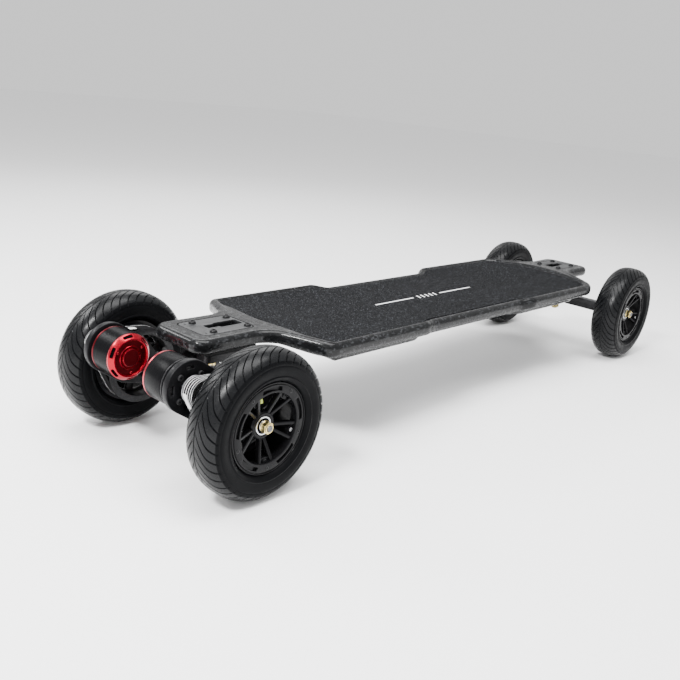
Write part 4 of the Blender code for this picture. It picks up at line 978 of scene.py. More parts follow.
def make_grip():
    """The sheet of grip tape with its curved ends, and the printed lines on it."""
    bow_start = GRIP_END - 70.0 * MM

    def bowed(row, part):
        """Rows near an end curve towards it."""
        reach = max(0.0, abs(row) - bow_start) / (GRIP_END - bow_start)
        return row - math.copysign(GRIP_END_BOW * part * part * reach, row)

    rows = steps(-GRIP_END, GRIP_END, 6.0 * MM)
    columns = [-1.0] + ACROSS + [1.0]
    grip = surface_sheet("grip_tape_sheet", rows, columns, GRIP_THICKNESS, GRIP_LIFT - GRIP_THICKNESS, "grip",
                         lambda x, inner: inner - GRIP_INSET, bowed)
    place(grip, "deck", "grip_sheet", "grip_tape")
    for name, start, end in PRINTED_LINES:
        line = surface_sheet(name, steps(start, end, 8.0 * MM), [-1.0, 0.0, 1.0], PRINT_THICKNESS, PRINT_LIFT,
                             "print", lambda x, inner: PRINT_HALF_WIDTH, lambda row, part: row)
        place(line, "deck", "grip_sheet")
    bars = []
    for index in range(MARK_BARS):
        middle = (index - (MARK_BARS - 1) / 2.0) * MARK_PITCH

        def slanted(row, part, middle=middle):
            """Each bar leans forward."""
            return middle + row + MARK_LEAN * part

        bars.append(surface_sheet("mark", [-MARK_WIDTH / 2.0, MARK_WIDTH / 2.0], steps(-1.0, 1.0, 0.5),
                                  PRINT_THICKNESS, PRINT_LIFT, "print",
                                  lambda x, inner: MARK_HALF_LENGTH, slanted))
    place(merge(bars, "centre_mark"), "deck", "grip_sheet")


def make_plates():
    """The satin plates let into the necks, with their slots, bolt holes and small ovals."""
    for end, sign in ENDS:
        low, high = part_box("mount_plate_" + end)
        loops = [plate_outline(sign, -0.6 * MM), slot_outline(sign, 0.25 * MM)]
        loops += [circle(centre, BOLT_HOLE, 20) for centre in bolt_centres(end)]
        for side in (-1.0, 1.0):
            oval = rounded_rectangle((-0.8 * MM, -2.0 * MM), (0.8 * MM, 2.0 * MM), 0.79 * MM, 4)
            loops.append([(sign * OVAL_X + x, side * OVAL_Y + y) for x, y in oval])
        plate = prism("neck_plate_" + end, loops, low.z, high.z, "plate")
        round_edges(plate, 0.25 * MM, 2, 60.0)
        place(plate, "deck", "satin_plate", "mount_plate_" + end)


def button_head(radius, height, seat, centre, axis):
    """A round button head with a hexagonal socket."""
    rise = ((0.98, 0.0), (1.0, 0.12), (0.97, 0.35), (0.88, 0.62), (0.72, 0.86), (0.55, 1.0))
    profile = [(radius * out, seat + height * up) for out, up in rise]
    head = turned("head", [(0.0, seat)] + profile + [(0.0, seat + height)], "screw", centre, axis, 40)
    hollow = ((0.0, 0.35), (0.48, 0.35), (0.48, 1.2), (0.0, 1.2))
    socket = [(radius * out, seat + height * up) for out, up in hollow]
    return cut(head, turned("socket", socket, "screw", centre, axis, 6))


NUT_TOP = 123.9 * MM


def make_deck_bolts():
    """Button-head bolts through the necks, with their lock nuts below the baseplates."""
    for end, _ in ENDS:
        for index, centre in enumerate(bolt_centres(end), 1):
            node = "deck_bolt_%s_%d" % (end, index)
            low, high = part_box(node)
            spot = Vector((centre.x, centre.y, 0.0))
            seat = NECK_TOP + 0.05 * MM
            head = button_head(4.7 * MM, high.z - seat, seat, spot, Z_AXIS)
            shank = turned("shank", [(0.0, low.z), (2.1 * MM, low.z), (2.5 * MM, low.z + 0.6 * MM),
                                     (2.5 * MM, seat + 0.3 * MM), (0.0, seat + 0.3 * MM)],
                           "screw", spot, Z_AXIS, 24)
            loops = [circle(spot.xy, 4.6 * MM, 6), circle(spot.xy, 2.45 * MM, 24)]
            nut = prism("nut", loops, NUT_TOP - 4.2 * MM, NUT_TOP, "gold")
            round_edges(nut, 0.35 * MM, 2)
            collar = mm([(2.5, -6.0), (3.6, -6.0), (3.9, -5.4), (3.9, -4.1), (2.5, -4.1)], NUT_TOP)
            collar = turned("collar", collar, "seal", spot, Z_AXIS, 24, ring=True)
            place(merge([head, shank, nut, collar], "neck_bolt_%s_%d" % (end, index)), "deck",
                  "black_screws", node)


# ---------------------------------------------------------------- belly

BUTTON_RADIUS = 8.0 * MM
PORT_RADIUS = 7.0 * MM
PORT_MOUTH = 4.8 * MM
PORT_FLANGE = 2.7 * MM
NEAR_AXIS = 0.01 * MM
RIM = 1.8 * MM
CELL_ROWS = 7
CELL_COLUMNS = 20
FINS = 8
FIN_DEPTH = 4.0 * MM


def upright(node):
    """The vertical axis of a node, as a point at height 0."""
    middle = middle_of(node)
    return Vector((middle.x, middle.y, 0.0))


def make_lid():
    """The belly's lid with its countersunk screws."""
    low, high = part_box("belly_cover")
    button, port = middle_of("power_button"), middle_of("charge_port")
    loops = [rounded_rectangle((low.x, low.y), (high.x, high.y), 7.7 * MM),
             circle(button.xy, BUTTON_RADIUS + 0.3 * MM, 48), circle(port.xy, PORT_RADIUS + 0.3 * MM, 48)]
    lid = prism("belly_lid", loops, low.z, high.z, "lid")
    spots = [(x, side * (high.y - 5.5 * MM)) for x in steps(low.x + 8.0 * MM, high.x - 8.0 * MM, 98.0 * MM)
             for side in (-1.0, 1.0)]
    spots += [(x, 0.0) for x in (low.x + 6.0 * MM, high.x - 6.0 * MM)]
    sink = mm([(0.0, -1.0), (3.5, -1.0), (3.5, 0.0), (1.9, 1.5), (0.0, 1.5)], low.z)
    cone = mm([(0.0, 0.25), (2.9, 0.25), (3.1, 0.45), (1.7, 1.7), (0.0, 1.7)], low.z)
    key = mm([(0.0, -0.5), (1.2, -0.5), (1.2, 1.1), (0.0, 1.1)], low.z)
    screws = []
    for x, y in spots:
        spot = Vector((x, y, 0.0))
        cut(lid, turned("sink", sink, "lid", spot, Z_AXIS, 24))
        head = turned("head", cone, "screw", spot, Z_AXIS, 24)
        screws.append(cut(head, turned("socket", key, "screw", spot, Z_AXIS, 6)))
    place(round_edges(lid, 0.3 * MM, 2, 60.0), "deck", "lid_metal", "belly_cover")
    place(merge(screws, "lid_screws"), "deck", "black_screws")


def make_button():
    """The power button's cap, flanged behind the lid, with a printed power mark."""
    low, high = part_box("power_button")
    middle = upright("power_button")
    profile = [(0.0, low.z + 0.7 * MM), (5.2 * MM, low.z + 0.5 * MM), (6.3 * MM, low.z), (7.4 * MM, low.z),
               (7.9 * MM, low.z + 0.4 * MM), (BUTTON_RADIUS, low.z + 1.0 * MM), (BUTTON_RADIUS, high.z - RIM),
               (BUTTON_RADIUS + RIM, high.z - RIM), (BUTTON_RADIUS + RIM, high.z), (0.0, high.z)]
    cap = turned("press_cap", profile, "plastic", middle, Z_AXIS, 48)
    place(cap, "button", "socket_plastic", "power_button")
    opening, closing = math.radians(125.0), math.radians(415.0)
    ring = arc((0.0, 0.0), 2.6 * MM, opening, closing, 24) + arc((0.0, 0.0), 2.0 * MM, closing, opening, 24)
    bar = rounded_rectangle((-0.3 * MM, 1.2 * MM), (0.3 * MM, 3.2 * MM), 0.25 * MM, 3)
    marks = [prism("mark", [loop], low.z + 0.45 * MM, low.z + 0.75 * MM, "print", middle)
             for loop in (ring, bar)]
    place(merge(marks, "press_mark"), "button", "socket_plastic")


def make_socket():
    """The round charging socket with three contact pins."""
    low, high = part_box("charge_port")
    middle = upright("charge_port")
    flange, floor = low.z + PORT_FLANGE, high.z - 3.0 * MM
    profile = [(PORT_MOUTH + 0.4 * MM, low.z), (PORT_RADIUS - 0.4 * MM, low.z),
               (PORT_RADIUS, low.z + 0.4 * MM), (PORT_RADIUS, flange), (PORT_RADIUS + RIM, flange),
               (PORT_RADIUS + RIM, flange + RIM), (PORT_RADIUS, flange + RIM), (PORT_RADIUS, high.z),
               (NEAR_AXIS, high.z), (NEAR_AXIS, floor), (PORT_MOUTH, floor), (PORT_MOUTH, low.z + 0.4 * MM)]
    socket = turned("socket_shell", profile, "plastic", middle, Z_AXIS, 48, ring=True)
    place(socket, "deck", "socket_plastic", "charge_port")
    pin = [(0.0, low.z + 2.0 * MM), (0.35 * MM, low.z + 2.0 * MM), (0.55 * MM, low.z + 2.5 * MM),
           (0.55 * MM, high.z - 2.5 * MM), (0.0, high.z - 2.5 * MM)]
    pins = []
    for turn in (QUARTER, QUARTER + math.tau / 3.0, QUARTER + 2.0 * math.tau / 3.0):
        spot = middle + Vector((2.5 * MM * math.cos(turn), 2.5 * MM * math.sin(turn), 0.0))
        pins.append(turned("pin", pin, "contact", spot, Z_AXIS, 16))
    place(merge(pins, "socket_pins"), "deck", "socket_plastic")


def make_battery():
    """The wrapped battery, with the tops of its cells showing through the film."""
    low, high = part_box("battery_pack")
    body = prism("battery_wrap", [rounded_rectangle((low.x, low.y), (high.x, high.y), 6.0 * MM)],
                 low.z, high.z - 0.8 * MM, "wrap")
    dome = mm([(0.0, -1.0), (8.0, -1.0), (7.6, -0.4), (6.5, 0.0), (0.0, 0.0)], high.z)
    domes = []
    for row in range(CELL_ROWS):
        for column in range(CELL_COLUMNS):
            spot = Vector((mix(low.x, high.x, (column + 0.5) / CELL_COLUMNS),
                           mix(low.y, high.y, (row + 0.5) / CELL_ROWS), 0.0))
            domes.append(turned("dome", dome, "wrap", spot, Z_AXIS, 16))
    place(merge([round_edges(body, 1.2 * MM, 3)] + domes, "battery_block"), "deck", "battery_wrap",
          "battery_pack")


def make_controller():
    """The motor controller's finned case."""
    low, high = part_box("motor_controller")
    half = high.y
    pitch = 2.0 * half / (2 * FINS - 1)
    profile = [(-half, low.z)]
    for fin in range(FINS):
        left = -half + 2 * fin * pitch
        profile += [(left, high.z), (left + pitch, high.z)]
        if fin < FINS - 1:
            profile += [(left + pitch, high.z - FIN_DEPTH), (left + 2 * pitch, high.z - FIN_DEPTH)]
    profile += [(half, low.z)]
    case = prism("controller_case", [profile], low.x, high.x, "lid", Vector(), Y_AXIS, Z_AXIS)
    place(round_edges(case, 0.5 * MM, 2), "deck", "controller_case", "motor_controller")


# ---------------------------------------------------------------- trucks

BOLT_X = 434.6 * MM
KINGPIN_LEAN = math.radians(28.5)
RING_MIDDLE = 33.5 * MM
RING_HALF = 6.0 * MM
PIVOT_TIP = 36.0 * MM
BASE_BOTTOM = 124.0 * MM
BASE_TOP = 133.0 * MM
BASE_HALF_LENGTH = 40.5 * MM
KINGPIN_FOOT = 439.0 * MM
ARM_HALF_X = 10.0 * MM
ARM_HALF_Z = 9.5 * MM


def sweep(name, path, section, up, finish):
    """Carry a closed section (across, along up) along a path of points."""
    verts = []
    count = len(section)
    for index, point in enumerate(path):
        before = path[max(0, index - 1)]
        after = path[min(len(path) - 1, index + 1)]
        along = (after - before).normalized()
        across = along.cross(up).normalized()
        rise = across.cross(along)
        verts.extend(point + across * u + rise * v for u, v in section)
    faces = []
    for index in range(len(path) - 1):
        for step in range(count):
            after = (step + 1) % count
            here = index * count
            faces.append([here + step, here + after, here + count + after, here + count + step])
    faces.append(list(range(count)))
    faces.append(list(range((len(path) - 1) * count, len(path) * count)))
    return add_mesh(name, verts, faces, finish, 40.0)


def truck_frame(sign):
    """Kingpin direction, steering direction, kingpin foot and ring middle of a truck."""
    kingpin = Vector((sign * math.sin(KINGPIN_LEAN), 0.0, -math.cos(KINGPIN_LEAN)))
    steering = Vector((sign * math.cos(KINGPIN_LEAN), 0.0, math.sin(KINGPIN_LEAN)))
    foot = Vector((sign * KINGPIN_FOOT, 0.0, BASE_BOTTOM))
    return kingpin, steering, foot, foot + kingpin * RING_MIDDLE


def make_riser(end):
    """The rubber pad between neck and baseplate, with a grooved edge."""
    low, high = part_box("riser_pad_" + end)
    outline = rounded_rectangle((low.x, low.y), (high.x, high.y), 6.0 * MM)
    holes = [circle(centre, BOLT_HOLE, 20) for centre in bolt_centres(end)]
    pad = prism("riser_" + end, [outline] + holes, low.z, high.z, "riser")
    round_edges(pad, 0.7 * MM, 2, 60.0)
    middle = (low.z + high.z) / 2.0
    loops = [rounded_rectangle((low.x - grow, low.y - grow), (high.x + grow, high.y + grow), 6.0 * MM + grow)
             for grow in (1.0 * MM, -0.6 * MM)]
    cut(pad, prism("groove", loops, middle - 1.0 * MM, middle + 1.0 * MM, "riser"))
    place(pad, "deck", "riser_rubber", "riser_pad_" + end)


def make_baseplate(end, sign):
    """The cast baseplate: plate, kingpin boss, arm and pivot housing."""
    kingpin, steering, foot, centre = truck_frame(sign)
    low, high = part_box("baseplate_" + end)
    start, stop = sorted((sign * (BOLT_X - BASE_HALF_LENGTH), sign * (BOLT_X + BASE_HALF_LENGTH)))
    outline = rounded_rectangle((start, low.y), (stop, high.y), 6.0 * MM)
    holes = [circle(spot, BOLT_HOLE, 20) for spot in bolt_centres(end)]
    plate = prism("base_" + end, [outline] + holes, BASE_BOTTOM, BASE_TOP, "casting")
    boss = turned("boss", mm([(0.0, -2.0), (17.0, -2.0), (15.5, 1.0), (13.8, 4.0), (13.0, 7.2), (12.2, 8.0),
                              (0.0, 8.0)]),
                  "casting", foot, kingpin, 48)
    combine(plate, boss, "UNION")
    web = [(464.0, 124.6), (464.0, 132.4), (479.0, 132.4), (497.0, 122.0), (493.5, 113.0), (480.0, 110.0),
           (471.0, 124.6)]
    web = rounded_outline([(sign * x * MM, z * MM) for x, z in web], 2.0 * MM, 3)
    combine(plate, prism("arm", [web], -8.0 * MM, 8.0 * MM, "casting", Vector(), X_AXIS, Z_AXIS), "UNION")
    housing = turned("housing", mm([(0.0, -7.0), (8.2, -7.0), (9.0, -6.2), (9.0, 4.0), (8.0, 5.0),
                                    (0.0, 5.0)], PIVOT_TIP),
                     "casting", centre, steering, 40)
    combine(plate, housing, "UNION")
    cuts = [turned("bore", mm([(0.0, -12.0), (5.05, -12.0), (5.05, 10.0), (0.0, 10.0)]),
                   "casting", foot, kingpin, 32),
            turned("cup", mm([(0.0, -9.0), (6.5, -9.0), (6.5, 1.0), (0.0, 1.0)], PIVOT_TIP),
                   "casting", centre, steering, 32)]
    cut(plate, *cuts)
    round_edges(plate, 0.6 * MM, 2, 50.0)
    place(plate, "deck", "black_casting", "baseplate_" + end)


def make_kingpin(end, sign):
    """The kingpin with its thread, washer and nut."""
    kingpin, _, foot, _ = truck_frame(sign)
    seat = 52.6 * MM
    tip = 62.0 * MM
    radius = 4.75 * MM
    profile = [(0.0, -4.6 * MM), (7.0 * MM, -4.6 * MM), (7.4 * MM, -4.2 * MM), (7.4 * MM, -1.3 * MM),
               (radius, -1.3 * MM), (radius, seat + 2.0 * MM)]
    profile += thread(radius, seat + 2.0 * MM, tip - 0.6 * MM, 1.0 * MM)
    profile += [(radius - 1.0 * MM, tip), (0.0, tip)]
    pin = turned("pin", profile, "gold", foot, kingpin, 32)
    ring = [(radius, seat), (9.2 * MM, seat), (9.6 * MM, seat + 0.4 * MM), (9.6 * MM, seat + 1.2 * MM),
            (9.2 * MM, seat + 1.6 * MM), (radius, seat + 1.6 * MM)]
    washer = turned("washer", ring, "gold", foot, kingpin, 48, ring=True)
    nut = hex_nut(8.0 * MM, radius, seat + 1.6 * MM, tip - 1.4 * MM, foot, kingpin)
    place(merge([pin, washer, nut], "king_bolt_" + end), "deck", "gold_plating", "kingpin_" + end)


def thread(radius, start, end, pitch):
    """Profile points of a thread's ridges."""
    points = []
    for along in steps(start, end, pitch):
        points += [(radius, along), (radius - 0.35 * MM, along + pitch / 2.0)]
    return points[:-1]


def hex_nut(corner, bore, start, end, centre, axis):
    """A hexagonal nut with chamfered corners."""
    side = axis.cross(X_AXIS if abs(axis.x) < 0.9 else Z_AXIS).normalized()
    across = axis.cross(side)
    flat = corner * math.cos(math.pi / 6.0)
    verts = []
    rows = []
    sides = 48
    inner = flat * 0.97
    for along, chamfered in ((start, False), (start, True), (end, True), (end, False)):
        row = []
        for step in range(sides):
            turn = math.tau * step / sides
            wedge = turn % (math.tau / 6.0) - math.pi / 6.0
            radius = flat / math.cos(wedge) if chamfered else inner
            drop = max(0.0, radius - inner) * 0.6
            spot = along + drop * (1.0 if along == start else -1.0)
            row.append(len(verts))
            verts.append(centre + axis * spot + (side * math.cos(turn) + across * math.sin(turn)) * radius)
        rows.append(row)
    for along in (end, start):
        row = []
        for step in range(sides):
            turn = math.tau * step / sides
            row.append(len(verts))
            verts.append(centre + axis * along + (side * math.cos(turn) + across * math.sin(turn)) * bore)
        rows.append(row)
    faces = []
    for first, second in zip(rows, rows[1:] + rows[:1]):
        for step in range(sides):
            after = (step + 1) % sides
            faces.append([first[step], first[after], second[after], second[step]])
    return add_mesh("nut", verts, faces, "gold", 28.0)


def make_bushings(end, sign):
    """The barrel bushing above the ring and the cone bushing below it."""
    kingpin, _, foot, _ = truck_frame(sign)
    bore = 5.15 * MM
    top = 8.3 * MM
    ring_top = RING_MIDDLE - RING_HALF - 0.3 * MM
    barrel = [(bore, top), (10.8 * MM, top), (11.6 * MM, top + 0.8 * MM), (12.4 * MM, top + 3.5 * MM),
              (12.4 * MM, ring_top - 3.5 * MM), (11.6 * MM, ring_top - 0.8 * MM), (10.8 * MM, ring_top),
              (bore, ring_top)]
    below = RING_MIDDLE + RING_HALF + 0.3 * MM
    end_cone = 52.3 * MM
    cone = [(bore, below), (10.7 * MM, below), (11.4 * MM, below + 1.0 * MM), (11.2 * MM, below + 3.0 * MM),
            (9.2 * MM, end_cone - 0.8 * MM), (8.5 * MM, end_cone), (bore, end_cone)]
    for name, profile, node in (("barrel_", barrel, "bushing_upper_"), ("cone_", cone, "bushing_lower_")):
        piece = turned(name + end, profile, "bushing", foot, kingpin, 56, ring=True)
        place(piece, "deck", "bushing_rubber", node + end)


def make_hanger(end, sign):
    """The hanger: ring, pivot nose, web, axle core and two square arms."""
    kingpin, steering, _, centre = truck_frame(sign)
    axle = middle_of("axle_" + end)
    ring = turned("ring", [(0.0, -RING_HALF), (14.6 * MM, -RING_HALF), (16.0 * MM, -RING_HALF + 1.4 * MM),
                           (16.0 * MM, RING_HALF - 1.4 * MM), (14.6 * MM, RING_HALF), (0.0, RING_HALF)],
                  "casting", centre, kingpin, 64)
    nose = turned("nose", [(0.0, 13.4 * MM), (7.0 * MM, 13.4 * MM), (7.0 * MM, 22.0 * MM),
                           (6.0 * MM, PIVOT_TIP - 8.0 * MM), (6.0 * MM, PIVOT_TIP - 3.0 * MM),
                           (3.6 * MM, PIVOT_TIP), (0.0, PIVOT_TIP)], "casting", centre, steering, 32)
    web_loop = [(9.0, -5.9), (20.0, -5.9), (27.0, 11.0), (32.5, 17.0), (25.0, 27.0), (14.2, 21.0),
                (14.2, 5.9), (9.0, 5.9)]
    web_loop = rounded_outline([(t * MM, s * MM) for t, s in web_loop], 2.0 * MM, 3)
    web = prism("web", [web_loop], -14.0 * MM, 14.0 * MM, "casting", centre, steering, kingpin)
    core = turned("core", mm([(0.0, -18.0), (9.0, -18.0), (10.0, -17.0), (10.0, 17.0), (9.0, 18.0),
                              (0.0, 18.0)]),
                  "casting", axle, Y_AXIS, 48)
    for part in (nose, web, core):
        combine(ring, part, "UNION")
    outline = rounded_rectangle((-ARM_HALF_X, -ARM_HALF_Z), (ARM_HALF_X, ARM_HALF_Z), 3.0 * MM)
    for side in (-1.0, 1.0):
        start, stop = sorted((side * 16.0 * MM, side * 97.0 * MM))
        arm = prism("arm", [outline], start, stop, "casting", axle, X_AXIS, Z_AXIS)
        combine(ring, arm, "UNION")
    bore = turned("bore", mm([(0.0, -9.0), (6.6, -9.0), (6.6, 7.5), (0.0, 7.5)]),
                  "casting", centre, kingpin, 40)
    cut(ring, bore)
    bore = turned("bore", mm([(0.0, -102.0), (5.3, -102.0), (5.3, 102.0), (0.0, 102.0)]),
                  "casting", axle, Y_AXIS, 40)
    cut(ring, bore)
    round_edges(ring, 0.7 * MM, 2, 40.0)
    ring.name = "hanger_casting_" + end
    place(ring, end + "_truck", "black_casting", "hanger_" + end)


AXLE_TRIM = 2.0 * MM
NUT_ACROSS = 13.0 * MM


def make_axle(end):
    """The axle with threaded ends, and the nuts outside the wheels."""
    middle = middle_of("axle_" + end)
    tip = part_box("axle_" + end)[1].y - AXLE_TRIM
    step = middle_of("hub_%s_left" % end).y - 10.3 * MM
    half = [(5.0 * MM, 0.0), (5.0 * MM, step - 0.4 * MM), (4.6 * MM, step), (4.0 * MM, step),
            (4.0 * MM, tip - 13.0 * MM)]
    half += thread(4.0 * MM, tip - 13.0 * MM, tip - 1.4 * MM, 1.25 * MM)
    half += mm([(3.4, 0.0), (2.2, 0.0), (1.8, -0.7), (0.0, -0.7)], tip)
    profile = [(r, -a) for r, a in half[::-1]] + half[1:]
    place(turned("axle_rod_" + end, profile, "axle", middle, Y_AXIS, 40), end + "_truck", "axle_steel",
          "axle_" + end)
    for side_name, side in SIDES:
        node = "axle_nut_%s_%s" % (end, side_name)
        low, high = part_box(node)
        centre = Vector((middle.x, 0.0, middle.z))
        inner, outer = (low.y, high.y) if side > 0.0 else (-high.y, -low.y)
        axis = Y_AXIS * side
        flange = turned("flange", mm([(4.4, 0.0), (7.0, 0.0), (7.35, 0.4), (6.6, 1.5), (4.4, 1.5)], inner),
                        "gold", centre, axis, 48, ring=True)
        nut = hex_nut(NUT_ACROSS / math.sqrt(3.0), 4.3 * MM, inner + 1.2 * MM, outer - 1.4 * MM, centre, axis)
        collar = turned("collar", mm([(4.3, -1.6), (5.9, -1.6), (5.6, -0.3), (5.2, 0.0), (4.3, 0.0)], outer),
                        "gold", centre, axis, 48, ring=True)
        place(merge([flange, nut, collar], "wheel_nut_%s_%s" % (end, side_name)), end + "_truck",
              "gold_plating", node)


# ---------------------------------------------------------------- wheels

TYRE_RADIUS = 89.0 * MM
TYRE_HALF_WIDTH = 25.5 * MM
BULGE_RADIUS = 71.0 * MM
RIM_INNER = 41.5 * MM
RIM_LIP = 54.3 * MM
RIM_HALF = 20.6 * MM
BOSS_RADIUS = 17.0 * MM
PITCHES = 41
GROOVE_DEPTH = 2.4 * MM
GROOVE_COLUMNS = (0.0, 0.04, 0.15, 0.19, 0.34)
GROOVE_BEND = 15.5
TREAD_EDGE = 24.6 * MM
TREAD_COLUMNS = (0.0, 0.45, 0.75, 1.3, 3.0, 4.7, 6.5, 8.5, 10.5, 12.5, 14.5, 16.5, 18.3, 20.0, 21.4, 22.5,
                 23.3, 24.0, 24.6)
CROWN_GROOVE_HALF = 0.5
CROWN_GROOVE_DEPTH = 0.8 * MM
POLISHED_RADIUS = 76.0 * MM
POLISHED_HALF_WIDTH = 23.4 * MM
SPOKE_PAIRS = 5
SPOKE_PHASE = math.radians(54.5)
BRIGHT_SCREW = 1
GUSSET_CORNERS = ((44.5, -0.20), (38.2, -0.19), (36.2, 0.0), (38.2, 0.19), (44.5, 0.20))
VALVE_TURN = {("rear", "right"): math.radians(97.0), ("rear", "left"): math.radians(20.0),
              ("front", "right"): math.radians(162.0), ("front", "left"): math.radians(234.0)}


def tread_shift(across):
    """How far a groove has gone round the tyre (in pitches) at a distance from the crown."""
    reach = across / MM
    return 0.125 * min(reach, GROOVE_BEND) + 0.080 * max(0.0, reach - GROOVE_BEND)


def tread_depth(across):
    """Depth of the slanted grooves at a distance from the crown."""
    reach = across / MM
    return GROOVE_DEPTH * smooth_step(reach, 2.0, 5.0) * (1.0 - smooth_step(reach, 23.2, 24.6))


def make_tyre(end, side_name):
    """An air tyre with a thin middle groove and slanted grooves out to the shoulders."""
    centre = middle_of("hub_%s_%s" % (end, side_name))
    outside = []
    for across in TREAD_COLUMNS:
        angle = math.acos((across * MM / TYRE_HALF_WIDTH) ** (1.0 / 0.75))
        radius = BULGE_RADIUS + (TYRE_RADIUS - BULGE_RADIUS) * math.sin(angle)
        if across < CROWN_GROOVE_HALF:
            radius -= CROWN_GROOVE_DEPTH
        outside.append((radius, across * MM))
    tread_rows = len(outside)
    outside += mm([(74.6, 24.9), (74.0, 24.7), (73.2, 25.1), (71.5, 25.4), (69.0, 25.3), (66.5, 25.0),
                   (64.0, 24.5), (62.2, 24.3), (61.6, 24.8), (60.6, 24.9), (60.0, 24.3), (58.8, 23.9),
                   (57.6, 23.2), (56.4, 22.0), (55.4, 20.6), (54.9, 19.0), (54.7, 17.9), (50.3, 15.9),
                   (50.3, 11.0), (60.0, 19.0), (72.0, 18.5), (79.0, 14.0), (83.0, 0.0)])
    columns = []
    for half in (0.0, 0.5):
        columns += [half + part for part in GROOVE_COLUMNS]
    floor_columns = (1, 2)
    size = PITCHES * len(columns)
    verts = []
    rows = []
    for side in (1.0, -1.0):
        for index, (radius, across) in enumerate(outside):
            if side < 0.0 and index in (0, len(outside) - 1):
                rows.append(rows[index])
                continue
            shift = tread_shift(min(across, TREAD_EDGE) if index < tread_rows else TREAD_EDGE)
            depth = tread_depth(across) if index < tread_rows else 0.0
            row = []
            for step in range(size):
                column = step % len(columns)
                sunk = column - (0 if side > 0.0 else len(GROOVE_COLUMNS)) in floor_columns
                turn = math.tau / PITCHES * (step // len(columns) + columns[column] + shift)
                reach = radius - (depth if sunk else 0.0)
                point = Vector((math.cos(turn) * reach, side * across, math.sin(turn) * reach))
                row.append(len(verts))
                verts.append(centre + point)
            rows.append(row)
    count = len(outside)
    faces = []
    for first, second in [(rows[k], rows[k + 1]) for k in range(2 * count - 1) if k != count - 1]:
        for step in range(size):
            after = (step + 1) % size
            faces.append([first[step], first[after], second[after], second[step]])
    tyre = add_mesh("tyre_casing_%s_%s" % (end, side_name), verts, faces, "tyre", 42.0)
    tyre.data.materials.append(FINISH["tread"])
    for face in tyre.data.polygons:
        out = face.center - centre
        if math.hypot(out.x, out.z) > POLISHED_RADIUS and abs(out.y) < POLISHED_HALF_WIDTH:
            face.material_index = 1
    place(tyre, "wheel_%s_%s" % (end, side_name), "tyre_rubber", "tyre_%s_%s" % (end, side_name))


def wheel_point(centre, side, radius, turn, out):
    """A point of a wheel by radius, angle and distance outboard of its middle."""
    return centre + Vector((radius * math.cos(turn), side * out, radius * math.sin(turn)))


def wheel_turned(name, profile, finish, centre, side, segments):
    """A lathed ring of a wheel; the profile's second number runs outboard."""
    return turned(name, profile, finish, centre, Y_AXIS * side, segments, ring=True)


def upright_prism(name, loops, low, high, finish, centre=Vector()):
    """A prism across the board, from outlines in x and z, between two places on Y."""
    start, stop = sorted((-low, -high))
    return prism(name, loops, start, stop, finish, centre, X_AXIS, Z_AXIS)


def small_screw(centre, axis, seat, radius, height, finish="screw"):
    """A little cap screw with its hexagonal socket."""
    profile = [(0.0, seat), (radius, seat), (radius, seat + height * 0.75), (radius * 0.86, seat + height),
               (0.0, seat + height)]
    head = turned("screw", profile, finish, centre, axis, 20)
    socket = turned("socket", [(0.0, seat + height * 0.3), (radius * 0.5, seat + height * 0.3),
                               (radius * 0.5, seat + height * 1.5), (0.0, seat + height * 1.5)],
                    finish, centre, axis, 6)
    return cut(head, socket)


